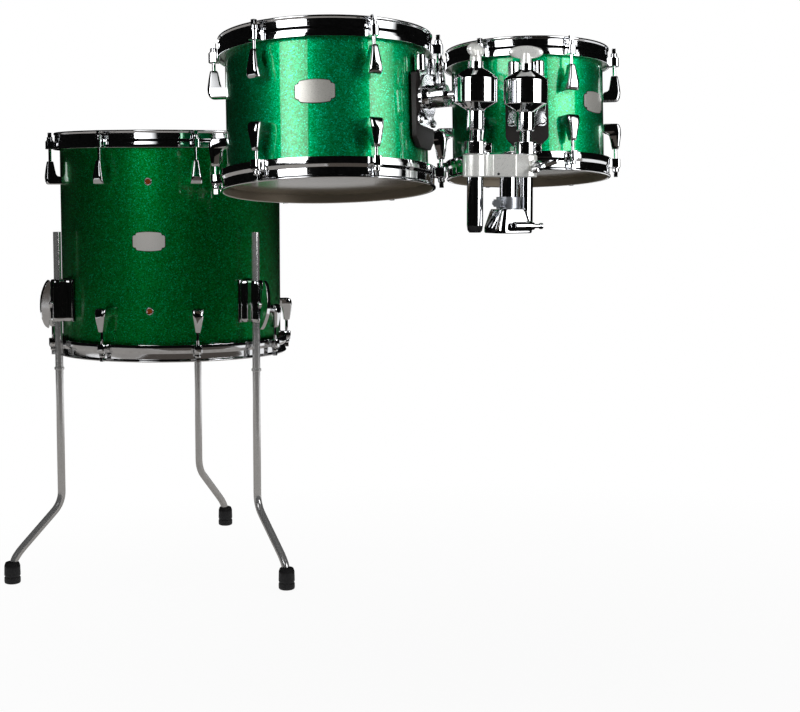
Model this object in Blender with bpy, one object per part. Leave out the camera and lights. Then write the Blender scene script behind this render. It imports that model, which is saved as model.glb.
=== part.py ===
"""Tom-tom set: a 12 inch and a 10 inch rack tom on a double tom holder, and a floor tom on three legs.

Metres, +Z up, the audience side is -Y. The origin is the underside of the holder base on the post axis.
Angles round a drum are in degrees from -Y towards +X.
"""

import math

import bmesh
import bpy
from mathutils import Matrix, Vector

# Drums: radius of the shell, depth between bearing edges, centre and axis.
FLOOR = {"r": 0.2032, "depth": 0.3810, "centre": (-0.2239, 0.8485, -0.0361), "axis": (0, 0, 1)}
TOM12 = {"r": 0.1524, "depth": 0.2065, "centre": (-0.1987, 0.2044, 0.1766), "axis": (0.035, 0.118, 1)}
TOM10 = {"r": 0.1270, "depth": 0.1900, "centre": (0.2161, 0.2947, 0.1888), "axis": (0.035, 0.097, 1)}
FLOOR_LEVEL = -0.6423
ROUND = 36
WALL = 0.006
GAP = 0.0003

# Tension lugs: first angle, count per side, distance of the inner end from the middle of the shell.
LUGS = {"floor": (-8.0, 8, 0.109), "tom12": (-1.1, 6, 0.031), "tom10": (-2.8, 6, 0.0194)}
BADGE_ANGLE = {"floor": -30.5, "tom12": -31.1, "tom10": 27.2}
ROD_OUT = 0.0195
LUG_TALL = 0.042

# Floor tom legs: angle of the leg, direction of its foot.
LEGS = {"a": (-84.7, -78.5), "b": (22.0, 8.2), "c": (148.0, 127.1)}
LEG_OUT = 0.0221
LEG_R = 0.0070
LEG_BRACKET_Z = -0.100
LEG_BOLT_Z = -0.106

# Holder: post, block and the two arms.
POST_R = 0.0127
ARM_X, ARM_Y = 0.043, 0.023
ARM_R = 0.012
ROD_R = 0.00875
BLOCK_Z = (0.082, 0.115)
EAR_R = 0.018
BALL_Z = {"left": 0.2050, "right": 0.2125}
BALL_R = 0.014
LROD_R = 0.0063
TILT_HALF = 0.0120
BASE_BOLT = (0.0193, -0.0325, 0.0105)
BLOCK_BOLT = (0.0470, -0.0003, 0.0985)

FINISHES = {
    "lacquer": ((0.0, 0.30, 0.13), 0.55, 0.28),
    "chrome": ((0.82, 0.83, 0.85), 1.0, 0.08),
    "satin": ((0.70, 0.70, 0.70), 0.9, 0.38),
    "nickel": ((0.62, 0.60, 0.55), 0.9, 0.35),
    "head": ((0.80, 0.79, 0.75), 0.0, 0.45),
    "grey_head": ((0.33, 0.31, 0.27), 0.0, 0.40),
    "rubber": ((0.02, 0.02, 0.02), 0.0, 0.75),
    "plate": ((0.055, 0.058, 0.062), 0.3, 0.45),
    "vent": ((0.60, 0.52, 0.48), 0.9, 0.25),
}


def clear_scene():
    for obj in list(bpy.data.objects):
        bpy.data.objects.remove(obj, do_unlink=True)


def turn(angle):
    """Turns the -Y direction to this angle."""
    return Matrix.Rotation(math.radians(angle), 4, "Z")


def shift(x=0.0, y=0.0, z=0.0):
    return Matrix.Translation((x, y, z))


def outward():
    """Lays local Z along -Y, the way out of a shell at angle 0."""
    return Matrix.Rotation(math.radians(90), 4, "X")


def moved(solid, matrix):
    points, faces = solid
    return [tuple(matrix @ Vector(p)) for p in points], faces


def together(solids):
    """Separate solids as one, for one Boolean."""
    points, faces = [], []
    for more_points, more_faces in solids:
        start = len(points)
        points += more_points
        faces += [tuple(start + i for i in face) for face in more_faces]
    return points, faces


def around(solid, angles):
    return together([moved(solid, turn(angle)) for angle in angles])


def loft(sections, closed=False):
    """Joins rings of equal counts; the ends are capped unless the last ring meets the first."""
    count = len(sections[0])
    points = [tuple(p) for section in sections for p in section]
    faces = []
    for a in range(len(sections) if closed else len(sections) - 1):
        low, high = a * count, (a + 1) % len(sections) * count
        for i in range(count):
            j = (i + 1) % count
            faces.append((low + i, low + j, high + j, high + i))
    if not closed:
        faces.append(tuple(range(count))[::-1])
        faces.append(tuple(range(len(points) - count, len(points))))
    return points, faces


def lathe(profile, segments=16, closed=False):
    """Turns (radius, height) points about Z. A closed profile makes a ring, an open one a capped solid."""
    angles = [2 * math.pi * k / segments for k in range(segments)]
    rings = [[(r * math.sin(a), -r * math.cos(a), z) for a in angles] for r, z in profile]
    return loft(rings, closed)


def prism(outline, low, high):
    return loft([[(x, y, low) for x, y in outline], [(x, y, high) for x, y in outline]])


def box(x, y, z):
    """A box from three (low, high) pairs."""
    return prism([(x[0], y[0]), (x[1], y[0]), (x[1], y[1]), (x[0], y[1])], *z)


def oval(half_x, half_y, segments=16):
    angles = [2 * math.pi * k / segments for k in range(segments)]
    return [(half_x * math.cos(a), half_y * math.sin(a)) for a in angles]


def sweep(path, radius, segments=10):
    """A round bar along a path that lies in the XZ plane."""
    rings = []
    for i, (x, z) in enumerate(path):
        before, after = path[max(i - 1, 0)], path[min(i + 1, len(path) - 1)]
        along = Vector((after[0] - before[0], 0, after[1] - before[1])).normalized()
        side = Vector((0, 1, 0)).cross(along)
        ring = []
        for k in range(segments):
            a = 2 * math.pi * k / segments
            ring.append(Vector((x, 0, z)) + radius * (math.sin(a) * side + Vector((0, math.cos(a), 0))))
        rings.append(ring)
    return loft(rings)


def ball(radius, segments=16, rows=7):
    profile = []
    for k in range(1, rows):
        a = math.pi * k / rows
        profile.append((radius * math.sin(a), -radius * math.cos(a)))
    return lathe(profile, segments)


def mesh_of(name, solid):
    mesh = bpy.data.meshes.new(name)
    mesh.from_pydata(solid[0], [], solid[1])
    work = bmesh.new()
    work.from_mesh(mesh)
    bmesh.ops.recalc_face_normals(work, faces=work.faces)
    work.to_mesh(mesh)
    work.free()
    return mesh


def object_of(name, solid):
    obj = bpy.data.objects.new(name, mesh_of(name, solid))
    bpy.context.scene.collection.objects.link(obj)
    return obj


def bake(obj):
    """Keeps the result of the modifiers as a plain mesh."""
    bpy.context.view_layer.update()
    graph = bpy.context.evaluated_depsgraph_get()
    result = bpy.data.meshes.new_from_object(obj.evaluated_get(graph))
    obj.modifiers.clear()
    obj.data = result


def paint(obj, finish):
    colour, metallic, roughness = FINISHES[finish]
    material = bpy.data.materials.new(obj.name)
    material.use_nodes = True
    shader = material.node_tree.nodes["Principled BSDF"]
    shader.inputs["Base Color"].default_value = (*colour, 1)
    shader.inputs["Metallic"].default_value = metallic
    shader.inputs["Roughness"].default_value = roughness
    material.diffuse_color = (*colour, 1)
    obj.data.materials.clear()
    obj.data.materials.append(material)


def node(name, finish, body, add=(), cut=(), keep=(), origin=(0, 0, 0), frame=None):
    """One piece: body joined with add, less cut, and inside keep. Its origin is on its joint's axis."""
    obj = object_of(name, body)
    tools = []
    for operation, solids in (("UNION", add), ("DIFFERENCE", cut), ("INTERSECT", keep)):
        for solid in solids:
            tool = object_of(name + "_tool", solid)
            tools.append(tool)
            modifier = obj.modifiers.new(operation, "BOOLEAN")
            modifier.operation = operation
            modifier.solver = "EXACT"
            modifier.object = tool
    if tools:
        bake(obj)
    for tool in tools:
        bpy.data.objects.remove(tool, do_unlink=True)
    obj.name = name
    if frame is not None:
        obj.data.transform(frame)
    obj.data.transform(Matrix.Translation(-Vector(origin)))
    obj.location = origin
    obj.data.shade_smooth()
    obj.data.set_sharp_from_angle(angle=math.radians(32))
    paint(obj, finish)
    return obj


def wing_outline(span, tall):
    """A pair of spread wings, from the hub up."""
    half = [(0.14, 0.0), (0.34, 0.30), (0.50, 0.58), (0.50, 0.90), (0.42, 1.0), (0.28, 0.96), (0.0, 0.52)]
    right = [(x * span, y * tall) for x, y in half]
    return right + [(-x, y) for x, y in reversed(right[:-1])]


def moon_outline(span, tall):
    """A half-moon grip, its round side away from the hub."""
    half = [(0.15, 0.0), (0.46, 0.02), (0.50, 0.16), (0.42, 0.52), (0.26, 0.84), (0.10, 0.99)]
    right = [(x * span, y * tall) for x, y in half]
    return right + [(-x, y) for x, y in reversed(right)]


def wing_bolt(name, hub_r, hub, outline, thick, place, origin):
    """A hub with a flat grip, standing along the local Z of place."""
    core = lathe([(hub_r, 0), (hub_r, hub * 0.4), (hub_r * 0.75, hub), (hub_r * 0.4, hub * 1.08)], 10)
    grip = moved(prism(outline, -thick / 2, thick / 2), shift(z=hub * 0.55) @ outward())
    node(name, "chrome", moved(core, place), add=[moved(grip, place)], origin=origin)


def drum_frame(drum):
    axis = Vector(drum["axis"]).normalized()
    lean = Vector((0, 0, 1)).rotation_difference(axis).to_matrix().to_4x4()
    return Matrix.Translation(drum["centre"]) @ lean


def shell(name, drum, vents, frame, origin):
    r, half = drum["r"], drum["depth"] / 2
    outer = [(r, -half + 0.003), (r, half - 0.003), (r - 0.003, half)]
    inner = [(r - WALL, half - 0.003), (r - WALL, -half + 0.003), (r - 0.003, -half)]
    cuts = [moved(lathe([(0.0046, 0), (0.0046, 0.03)], 10), vent @ shift(z=-0.015)) for vent in vents]
    node(name + "_shell", "lacquer", lathe(outer + inner, ROUND, True), cut=cuts, origin=origin, frame=frame)


def head(name, finish, drum, side, frame, origin):
    """Film over the bearing edge with its flesh hoop; side is 1 at the top, -1 at the bottom."""
    r, edge = drum["r"], drum["depth"] / 2
    rows = [
        (r + 0.0006, 0.0003),
        (r + 0.0006, -0.0110),
        (r + 0.0068, -0.0110),
        (r + 0.0068, -0.0045),
        (r + 0.0012, 0.0011),
    ]
    film = lathe([(out, side * (edge + up)) for out, up in rows], ROUND)
    node(name, finish, film, origin=origin, frame=frame)


def lug(r):
    """A hook-shaped casting at angle 0, its foot at z 0 and its rod end at the top."""
    rows = [
        (0.000, 0.0212, 0.0004, 0.0260),
        (0.013, 0.0195, 0.0004, 0.0290),
        (0.0165, 0.0185, 0.0095, 0.0288),
        (LUG_TALL, 0.0090, 0.0140, 0.0250),
    ]
    sections = []
    for z, wide, back, front in rows:
        half, ease = wide / 2, min(0.0045, wide * 0.28)
        ring = [
            (-half, -r - back, z),
            (half, -r - back, z),
            (half, -r - front + ease, z),
            (half - ease, -r - front, z),
            (-half + ease, -r - front, z),
            (-half, -r - front + ease, z),
        ]
        sections.append(ring)
    return loft(sections)


def tension_rod(r, foot):
    """Rod with washer, collar and drive; z is counted from the bearing edge."""
    profile = [
        (0.0028, foot),
        (0.0028, -0.0050),
        (0.0062, -0.0050),
        (0.0062, 0.0040),
        (0.0040, 0.0046),
        (0.0040, 0.0128),
    ]
    return moved(lathe(profile, 6), shift(y=-r - ROD_OUT))


def hoop_ear(r):
    outline = [
        (-0.0090, -r - 0.0103),
        (0.0090, -r - 0.0103),
        (0.0072, -r - 0.0235),
        (0.0042, -r - 0.0275),
        (-0.0042, -r - 0.0275),
        (-0.0072, -r - 0.0235),
    ]
    return prism(outline, -0.0170, -0.0030)


def hoop(name, kind, drum, side, frame, origin):
    """Die-cast hoop with its ears, tension rods and the lugs that the rods pull on."""
    r, edge = drum["r"], drum["depth"] / 2
    first, count, inner_end = LUGS[kind]
    angles = [first + 360 / count * k for k in range(count)]
    profile = [
        (r + 0.0118, -0.0175),
        (r + 0.0118, -0.0065),
        (r + 0.0088, -0.0015),
        (r + 0.0088, 0.0095),
        (r + 0.0106, 0.0116),
        (r + 0.0062, 0.0132),
        (r + 0.0058, -0.0030),
        (r + 0.0092, -0.0042),
        (r + 0.0092, -0.0175),
    ]
    lug_foot = inner_end - edge
    rod = tension_rod(r, lug_foot + LUG_TALL - 0.012)
    body = lathe(profile, ROUND, True)
    ears = around(hoop_ear(r), angles)
    rods = around(rod, angles)
    lugs = around(moved(lug(r), shift(z=lug_foot)), angles)
    flip = Matrix.Scale(side, 4, (0, 0, 1))
    place = frame @ flip @ shift(z=edge)
    pieces = [moved(solid, place) for solid in (body, ears, rods, lugs)]
    node(name, "chrome", pieces[0], add=pieces[1:], origin=origin)


def badge(name, drum, angle, height, frame, origin):
    """A barrel-shaped plate with notched corners, curved to the shell."""
    r = drum["r"]
    quarter = [(0.0295, 0.0), (0.0283, 0.0105), (0.0245, 0.0112), (0.0225, 0.0150), (0.012, 0.0172)]
    outline = quarter + [(-x, y) for x, y in reversed(quarter)][:-1]
    outline = outline + [(-0.0295, 0.0)] + [(-x, -y) for x, y in quarter[1:]]
    outline = outline + [(x, -y) for x, y in reversed(quarter[1:])]
    plate = moved(prism(outline, r - 0.010, r + 0.010), shift(z=height) @ outward())
    ring = lathe(
        [(r + GAP, -0.09), (r + GAP, 0.09), (r + 0.0018, 0.09), (r + 0.0018, -0.09)], ROUND, True
    )
    ring = moved(ring, turn(-angle))
    node(
        name, "nickel", moved(plate, turn(angle)), keep=[moved(ring, turn(angle))], origin=origin, frame=frame
    )


def vent_place(drum, angle, height):
    return turn(angle) @ shift(y=-drum["r"], z=height) @ outward()


def vent(name, place, frame, origin):
    """Eyelet through the shell wall."""
    profile = [
        (0.0040, -0.0085),
        (0.0040, 0.0006),
        (0.0068, 0.0006),
        (0.0060, 0.0020),
        (0.0028, 0.0016),
        (0.0028, -0.0085),
    ]
    node(name, "vent", moved(lathe(profile, 16, True), place), origin=origin, frame=frame)


def drum(kind, drum_size, bottom_finish, vents, frame, origin):
    places = [vent_place(drum_size, BADGE_ANGLE[kind], z) for z in vents]
    shell(kind, drum_size, places, frame, origin)
    head(kind + "_top_head", "head", drum_size, 1, frame, origin)
    head(kind + "_bottom_head", bottom_finish, drum_size, -1, frame, origin)
    hoop(kind + "_top_hoop", kind, drum_size, 1, frame, origin)
    hoop(kind + "_bottom_hoop", kind, drum_size, -1, frame, origin)
    badge(kind + "_badge", drum_size, BADGE_ANGLE[kind], 0.009, frame, origin)
    for k, place in enumerate(places):
        vent(f"{kind}_vent_{k + 1}", place, frame, origin)


def leg_path():
    """Outline of a leg: out from the leg axis, and above the floor."""
    return [
        (0.0, 0.630),
        (0.0, 0.150),
        (0.003, 0.137),
        (0.011, 0.124),
        (0.050, 0.088),
        (0.086, 0.054),
        (0.095, 0.044),
        (0.099, 0.033),
        (0.100, 0.024),
        (0.100, 0.0065),
    ]


def leg_bracket(r):
    outline = [
        (-0.0200, 0.0012),
        (0.0200, 0.0012),
        (0.0185, 0.0070),
        (0.0135, 0.0130),
        (0.0125, 0.0260),
        (0.0080, 0.0345),
        (-0.0080, 0.0345),
        (-0.0125, 0.0260),
        (-0.0135, 0.0130),
        (-0.0185, 0.0070),
    ]
    sections = []
    for z, scale in ((-0.038, 0.86), (-0.031, 1.0), (0.031, 1.0), (0.038, 0.86)):
        depth = 1.0 if scale == 1.0 else 0.93
        sections.append([(x * scale, -r - (0.0012 + (y - 0.0012) * depth), z) for x, y in outline])
    return loft(sections)


def floor_leg(tag, angle, foot_angle, frame):
    r = FLOOR["r"]
    out = turn(angle) @ shift(y=-r - LEG_OUT)
    axis_point = frame @ out @ Vector((0, 0, 0))
    ground = Matrix.Translation((axis_point.x, axis_point.y, FLOOR_LEVEL))
    heading = ground @ turn(foot_angle - 90)
    origin = (axis_point.x, axis_point.y, FLOOR_LEVEL + 0.5)

    bracket = moved(leg_bracket(r), turn(angle) @ shift(z=LEG_BRACKET_Z))
    bore = moved(lathe([(LEG_R + 0.0005, -0.3), (LEG_R + 0.0005, 0.2)], 16), out)
    node(f"floor_leg_bracket_{tag}", "chrome", bracket, cut=[bore], origin=FLOOR["centre"], frame=frame)

    place = frame @ turn(angle) @ shift(y=-r - 0.0348, z=LEG_BOLT_Z) @ outward()
    place = place @ Matrix.Rotation(math.radians(84), 4, "Z")
    bolt_at = tuple(place @ Vector((0, 0, 0)))
    grip = moon_outline(0.090, 0.0172)
    wing_bolt(f"floor_leg_bolt_{tag}", 0.0070, 0.0065, grip, 0.0080, place, bolt_at)

    path = leg_path()
    ring = lathe([(0.0055, 0.379), (0.0088, 0.380), (0.0088, 0.3845), (0.0055, 0.3855)], 16)
    bar = moved(sweep(path, LEG_R), heading)
    node(f"floor_leg_{tag}", "chrome", bar, add=[moved(ring, ground)], origin=origin)

    foot = [
        (0.0125, 0.0),
        (0.0145, 0.0025),
        (0.0145, 0.012),
        (0.0135, 0.0135),
        (0.0145, 0.015),
        (0.0140, 0.034),
        (0.0110, 0.040),
    ]
    at_foot = heading @ shift(x=0.100)
    hole = moved(sweep(leg_path()[2:-1] + [(0.100, 0.0060)], LEG_R + 0.0005), heading)
    node(f"floor_foot_{tag}", "rubber", moved(lathe(foot), at_foot), cut=[hole], origin=origin)


def floor_tom():
    frame = drum_frame(FLOOR)
    drum("floor", FLOOR, "grey_head", (0.114, -0.114), frame, FLOOR["centre"])
    for tag, (angle, foot_angle) in LEGS.items():
        floor_leg(tag, angle, foot_angle, frame)


def mount_plate(name, r, angle, height, frame, origin):
    """Dark plate that lies on the shell; its shoulders leave room for the bracket's two posts."""
    half_x, half_z, cut = 0.0345, 0.0700, 0.0140
    tongue, shoulder = 0.0107, 0.0400
    outline = [
        (half_x, shoulder),
        (tongue, shoulder),
        (tongue, half_z),
        (-tongue, half_z),
        (-tongue, shoulder),
        (-half_x, shoulder),
        (-half_x, -half_z + cut),
        (-half_x + cut, -half_z),
        (half_x - cut, -half_z),
        (half_x, -half_z + cut),
    ]
    plate = moved(prism(outline, r - 0.012, r + 0.0080), turn(angle) @ shift(z=height) @ outward())
    inside = lathe([(r + GAP, -0.2), (r + GAP, 0.2)], ROUND)
    node(name, "plate", plate, cut=[inside], origin=origin, frame=frame)


def rod_bracket(name, r, angle, height, lift, frame, origin):
    """Oval flange, receiver tube, and the yoke with its two posts and two screws."""
    place = turn(angle) @ shift(z=height) @ outward()
    flange = prism(oval(0.0300, 0.0340), r + 0.0083, r + 0.0145)
    tube = lathe([(0.0180, r + 0.0120), (0.0170, r + 0.0180), (0.0170, r + 0.0415), (0.0155, r + 0.0435)], 16)
    bore = lathe([(LROD_R + 0.0004, r + 0.0110), (LROD_R + 0.0004, r + 0.070)], 16)
    arm = [(0.012, 0.010), (0.0285, 0.042), (0.0285, 0.066)]
    leg = [(0.012, -0.004), (0.0310, -0.022), (0.0310, -0.038)]
    yoke, foot = [
        prism([(x, y + lift) for x, y in half + [(-x, y) for x, y in reversed(half)]], low, high)
        for half, low, high in ((arm, r + 0.0086, r + 0.0115), (leg, r + 0.0089, r + 0.0107))
    ]
    posts = []
    for x in (-0.0205, 0.0205):
        stand = lathe([(0.0070, -0.012), (0.0086, -0.009), (0.0086, 0.009), (0.0070, 0.012)], 10)
        posts.append(moved(stand, shift(x, 0.054 + lift, r + 0.0102) @ outward()))
    for x in (-0.0250, 0.0250):
        cap = lathe([(0.0060, r + 0.0093), (0.0060, r + 0.0130), (0.0040, r + 0.0148)], 10)
        posts.append(moved(cap, shift(x, -0.030 + lift)))
    pieces = [moved(solid, place) for solid in (yoke, foot, together(posts), tube)]
    node(
        name, "chrome", moved(flange, place), add=pieces, cut=[moved(bore, place)],
        origin=origin, frame=frame,
    )


def rack_tom(kind, size, side, plate_height, bottom_finish):
    """A rack tom and its mount; side names the holder arm that carries it."""
    frame = drum_frame(size)
    sign = -1 if side == "left" else 1
    centre = Vector((sign * ARM_X, ARM_Y, BALL_Z[side]))
    local = frame.inverted() @ centre
    angle = math.degrees(math.atan2(local.x, -local.y))
    height, reach, r = local.z, math.hypot(local.x, local.y), size["r"]
    drum(kind, size, bottom_finish, (), frame, centre)
    mount_plate(kind + "_mount_plate", r, angle, plate_height, frame, centre)
    rod_bracket(kind + "_rod_bracket", r, angle, height, plate_height - height, frame, centre)

    screw = frame @ turn(angle) @ shift(y=-r - 0.0345, z=height + 0.0173) @ turn(20)
    at = tuple(screw @ Vector((0, 0, 0)))
    wing_bolt(kind + "_rod_screw", 0.0060, 0.019, wing_outline(0.036, 0.026), 0.0055, screw, at)

    rod = lathe([(LROD_R, -(reach - r - 0.016)), (LROD_R, -0.004)], 16)
    rod = moved(rod, Matrix.Rotation(math.radians(90), 4, "X"))
    along = Matrix.Translation(centre) @ frame.to_3x3().to_4x4() @ turn(angle)
    node(f"{side}_l_rod", "chrome", moved(ball(BALL_R), along), add=[moved(rod, along)], origin=centre)
    return along


def ball_clamp(side, along):
    """Housing that grips the ball of the L-rod; the rod leaves through a slot."""
    profile = [
        (0.0120, 0.1502),
        (0.01325, 0.1515),
        (0.01325, 0.1800),
        (0.0325, 0.1910),
        (0.0325, 0.2260),
        (0.0300, 0.2290),
        (0.0150, 0.2390),
        (0.0113, 0.2400),
        (0.0113, 0.2500),
    ]
    sign = -1 if side == "left" else 1
    at = shift(sign * ARM_X, ARM_Y)
    socket = lathe([(ROD_R + GAP, 0.14), (ROD_R + GAP, 0.1780)], 16)
    hollow = moved(ball(BALL_R + 0.0011, 16, 7), along)
    slot = moved(box((-0.0072, 0.0072), (0.0, 0.045), (-TILT_HALF, TILT_HALF)), along)
    node(
        f"{side}_ball_clamp", "chrome", moved(lathe(profile, 28), at),
        cut=[moved(socket, at), hollow, slot], origin=(sign * ARM_X, ARM_Y, 0.20),
    )


def wing_nut(side, angle):
    sign = -1 if side == "left" else 1
    at = shift(sign * ARM_X, ARM_Y) @ turn(angle)
    stem = lathe([(0.0085, 0.2503), (0.0085, 0.2560), (0.0065, 0.2650)], 16)
    plate = moved(prism(oval(0.0265, 0.0100), -0.0045, 0.0045), shift(z=0.2665) @ outward())
    node(
        f"{side}_wing_nut", "chrome", moved(stem, at), add=[moved(plate, at)],
        origin=(sign * ARM_X, ARM_Y, 0.25),
    )


def arm(side, foot):
    """Tube through the block, thinner rod above it, end cap and stop collar."""
    sign = -1 if side == "left" else 1
    at = shift(sign * ARM_X, ARM_Y)
    origin = (sign * ARM_X, ARM_Y, 0.10)
    tube = [(ARM_R, foot + 0.0103), (ARM_R, 0.1150), (ROD_R, 0.1152), (ROD_R, 0.1775)]
    node(f"{side}_arm_rod", "chrome", moved(lathe(tube, 20), at), origin=origin)
    cap = [(0.0082, foot), (0.0108, foot + 0.0030), (0.0119, foot + 0.0100)]
    node(f"{side}_arm_cap", "rubber", moved(lathe(cap, 16), at), origin=origin)

    ring = lathe([(0.0165, 0.1156), (0.0165, 0.1333), (0.0150, 0.1345)], 16)
    boss = box((0.010, 0.0235), (-0.0065, 0.0065), (0.1180, 0.1320))
    screw = moved(lathe([(0.0052, -0.0105), (0.0052, 0.0105)], 10), shift(x=0.0185, z=0.1250) @ outward())
    bore = lathe([(ROD_R + GAP, 0.110), (ROD_R + GAP, 0.150)], 16)
    swing = turn(-27)
    node(
        f"{side}_arm_collar", "chrome", moved(ring, at),
        add=[moved(boss, at @ swing), moved(screw, at @ swing)], cut=[moved(bore, at)], origin=origin,
    )


def block_outline():
    """Seen from above: an ear round each arm, and a prow in front of the post."""
    ear = []
    for k in range(11):
        a = math.radians(90 + 19.5 * k)
        ear.append((-ARM_X + EAR_R * math.cos(a), ARM_Y + EAR_R * math.sin(a)))
    valley = [(-0.0345, 0.0030), (-0.0318, -0.0025), (-0.0305, -0.0080)]
    left = ear + valley
    right = [(-x, y) for x, y in reversed(left)]
    back = [(0.0200, 0.0360), (0.0120, 0.0250), (-0.0120, 0.0250), (-0.0200, 0.0360)]
    return left + [(0.0, -0.0225)] + right + back


def block():
    """Casting that clamps the post and both arms."""
    low, high = BLOCK_Z
    sections = []
    for z, scale in ((low, 0.965), (low + 0.0025, 1.0), (high - 0.0025, 1.0), (high, 0.965)):
        sections.append([(x * scale, 0.0107 + (y - 0.0107) * scale, z) for x, y in block_outline()])
    bolt_lug = lathe([(0.0095, -0.0003), (0.0095, -0.0126)], 16)
    bolt_lug = moved(bolt_lug, shift(*BLOCK_BOLT) @ outward())
    bores = [lathe([(POST_R + GAP, 0.05), (POST_R + GAP, 0.15)], 24)]
    for x in (-ARM_X, ARM_X):
        bores.append(moved(lathe([(ARM_R + GAP, 0.05), (ARM_R + GAP, 0.15)], 20), shift(x, ARM_Y)))
    pin = lathe([(0.0020, -0.005), (0.0020, 0.004)], 10)
    pin = moved(pin, shift(-0.0234, -0.0114, 0.0864) @ turn(-25.4) @ outward())
    node("holder_block", "satin", loft(sections), add=[bolt_lug], cut=bores + [pin], origin=(0, 0, 0.10))


def holder_base():
    """Casting that seats on the bass drum and grips the post."""
    sections = []
    for z, wide, deep in ((0.0, 0.0280, 0.0250), (0.0025, 0.0295, 0.0265), (0.008, 0.0295, 0.0265),
                          (0.031, 0.0222, 0.0215), (0.035, 0.0205, 0.0200)):
        ease = 0.30
        corner = [(wide, deep * (1 - ease)), (wide * (1 - ease), deep)]
        right = corner + [(-x, y) for x, y in reversed(corner)]
        ring = right + [(-x, -y) for x, y in right]
        sections.append([(x, y, z) for x, y in ring])
    boss = lathe([(0.0062, -0.0100), (0.0072, -0.0090), (0.0072, 0.0190)], 16)
    web = box((-0.0080, 0.0150), (BASE_BOLT[1], -0.0200), (0.0055, 0.0155))
    boss = moved(boss, shift(y=BASE_BOLT[1], z=BASE_BOLT[2]) @ Matrix.Rotation(math.radians(90), 4, "Y"))
    bore = lathe([(POST_R + GAP, -0.02), (POST_R + GAP, 0.06)], 24)
    slit = box((-0.0012, 0.0012), (0.010, 0.040), (0.012, 0.050))
    node("holder_base", "chrome", loft(sections), add=[web, boss], cut=[bore, slit])


def post():
    tube = [(POST_R - 0.001, 0.0006), (POST_R, 0.0016), (POST_R, 0.1150), (POST_R - 0.001, 0.1160)]
    node("holder_post", "chrome", lathe(tube, 32), origin=(0, 0, 0.05))
    ring = lathe([(0.0165, 0.0354), (0.0175, 0.0364), (0.0175, 0.0520), (0.0165, 0.0530)], 24)
    boss = box((-0.0260, -0.0140), (-0.0065, 0.0065), (0.0385, 0.0495))
    screw = moved(lathe([(0.0038, -0.0105), (0.0038, 0.0105)], 10), shift(x=-0.0215, z=0.0440) @ outward())
    bore = lathe([(POST_R + GAP, 0.03), (POST_R + GAP, 0.06)], 24)
    node(
        "post_collar", "satin", ring, add=[moved(boss, turn(20)), moved(screw, turn(20))],
        cut=[bore], origin=(0, 0, 0.05),
    )


def clamp_bolts():
    side = Matrix.Rotation(math.radians(90), 4, "Y")
    place = shift(*BASE_BOLT) @ side
    profile = [
        (0.0055, 0.0),
        (0.0055, 0.0045),
        (0.0030, 0.0050),
        (0.0030, 0.0150),
        (0.0045, 0.0155),
        (0.0045, 0.0190),
    ]
    shank = lathe(profile, 6)
    node("base_bolt", "chrome", moved(shank, place), origin=BASE_BOLT)
    place = shift(*BLOCK_BOLT) @ outward() @ Matrix.Rotation(math.radians(21), 4, "Z")
    wing_bolt("block_bolt", 0.0080, 0.015, wing_outline(0.046, 0.026), 0.0065, place, BLOCK_BOLT)


def holder():
    holder_base()
    post()
    block()
    clamp_bolts()
    arm("left", 0.0006)
    arm("right", 0.0006)
    wing_nut("left", 34)
    wing_nut("right", -27)


clear_scene()
floor_tom()
holder()
ball_clamp("left", rack_tom("tom12", TOM12, "left", 0.006, "grey_head"))
ball_clamp("right", rack_tom("tom10", TOM10, "right", 0.000, "grey_head"))
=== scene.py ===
# %% [markdown]
# # A tom-tom set, dressed for its portrait
# The set has two rack toms on one holder and a floor tom on three legs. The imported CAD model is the
# frame: it says where everything is and how it moves. This script builds the pieces that the eye sees
# around it, with round edges, real finishes and small fittings. Lengths are in metres, and angles round a
# drum are in degrees from -Y, the audience's side, towards +X.

# %% Load the frame
import math

import bmesh
import bpy
from mathutils import Matrix, Vector


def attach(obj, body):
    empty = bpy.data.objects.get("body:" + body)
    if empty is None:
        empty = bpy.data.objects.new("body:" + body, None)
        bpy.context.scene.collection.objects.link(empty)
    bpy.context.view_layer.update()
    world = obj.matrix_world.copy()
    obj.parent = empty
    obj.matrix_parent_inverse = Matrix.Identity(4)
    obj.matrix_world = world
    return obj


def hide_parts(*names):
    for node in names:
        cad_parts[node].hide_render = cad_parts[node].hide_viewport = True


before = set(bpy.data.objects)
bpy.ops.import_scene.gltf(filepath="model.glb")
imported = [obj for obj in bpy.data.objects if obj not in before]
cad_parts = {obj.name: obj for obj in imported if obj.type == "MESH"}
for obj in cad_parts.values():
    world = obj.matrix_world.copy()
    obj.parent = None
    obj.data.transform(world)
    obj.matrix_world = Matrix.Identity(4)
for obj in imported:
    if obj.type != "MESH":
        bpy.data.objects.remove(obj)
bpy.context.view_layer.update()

# %% [markdown]
# ## The set's driving sizes
# A drum is known by its shell: 16, 12 and 10 inches across. Each could be scaled by eye until it looks
# right, but then every fitting would be fitted by eye too. So radii, depths, places and leans are written
# once, as they were read from the set itself, and everything below is worked out from them.

# %% Driving sizes
INCH = 0.0254
DRUMS = {
    "floor": dict(r=0.2032, depth=0.3810, centre=(-0.2239, 0.8485, -0.0361), axis=(0, 0, 1)),
    "tom12": dict(r=0.1524, depth=0.2065, centre=(-0.1987, 0.2044, 0.1766), axis=(0.035, 0.118, 1)),
    "tom10": dict(r=0.1270, depth=0.1900, centre=(0.2161, 0.2947, 0.1888), axis=(0.035, 0.097, 1)),
}
BODY = {"floor": "floor_tom", "tom12": "tom12", "tom10": "tom10"}
FLOOR_LEVEL = -0.6423
for kind, size in DRUMS.items():
    print(kind, round(size["r"] * 2 / INCH, 1), "inches across,", size["depth"], "m deep")

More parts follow.
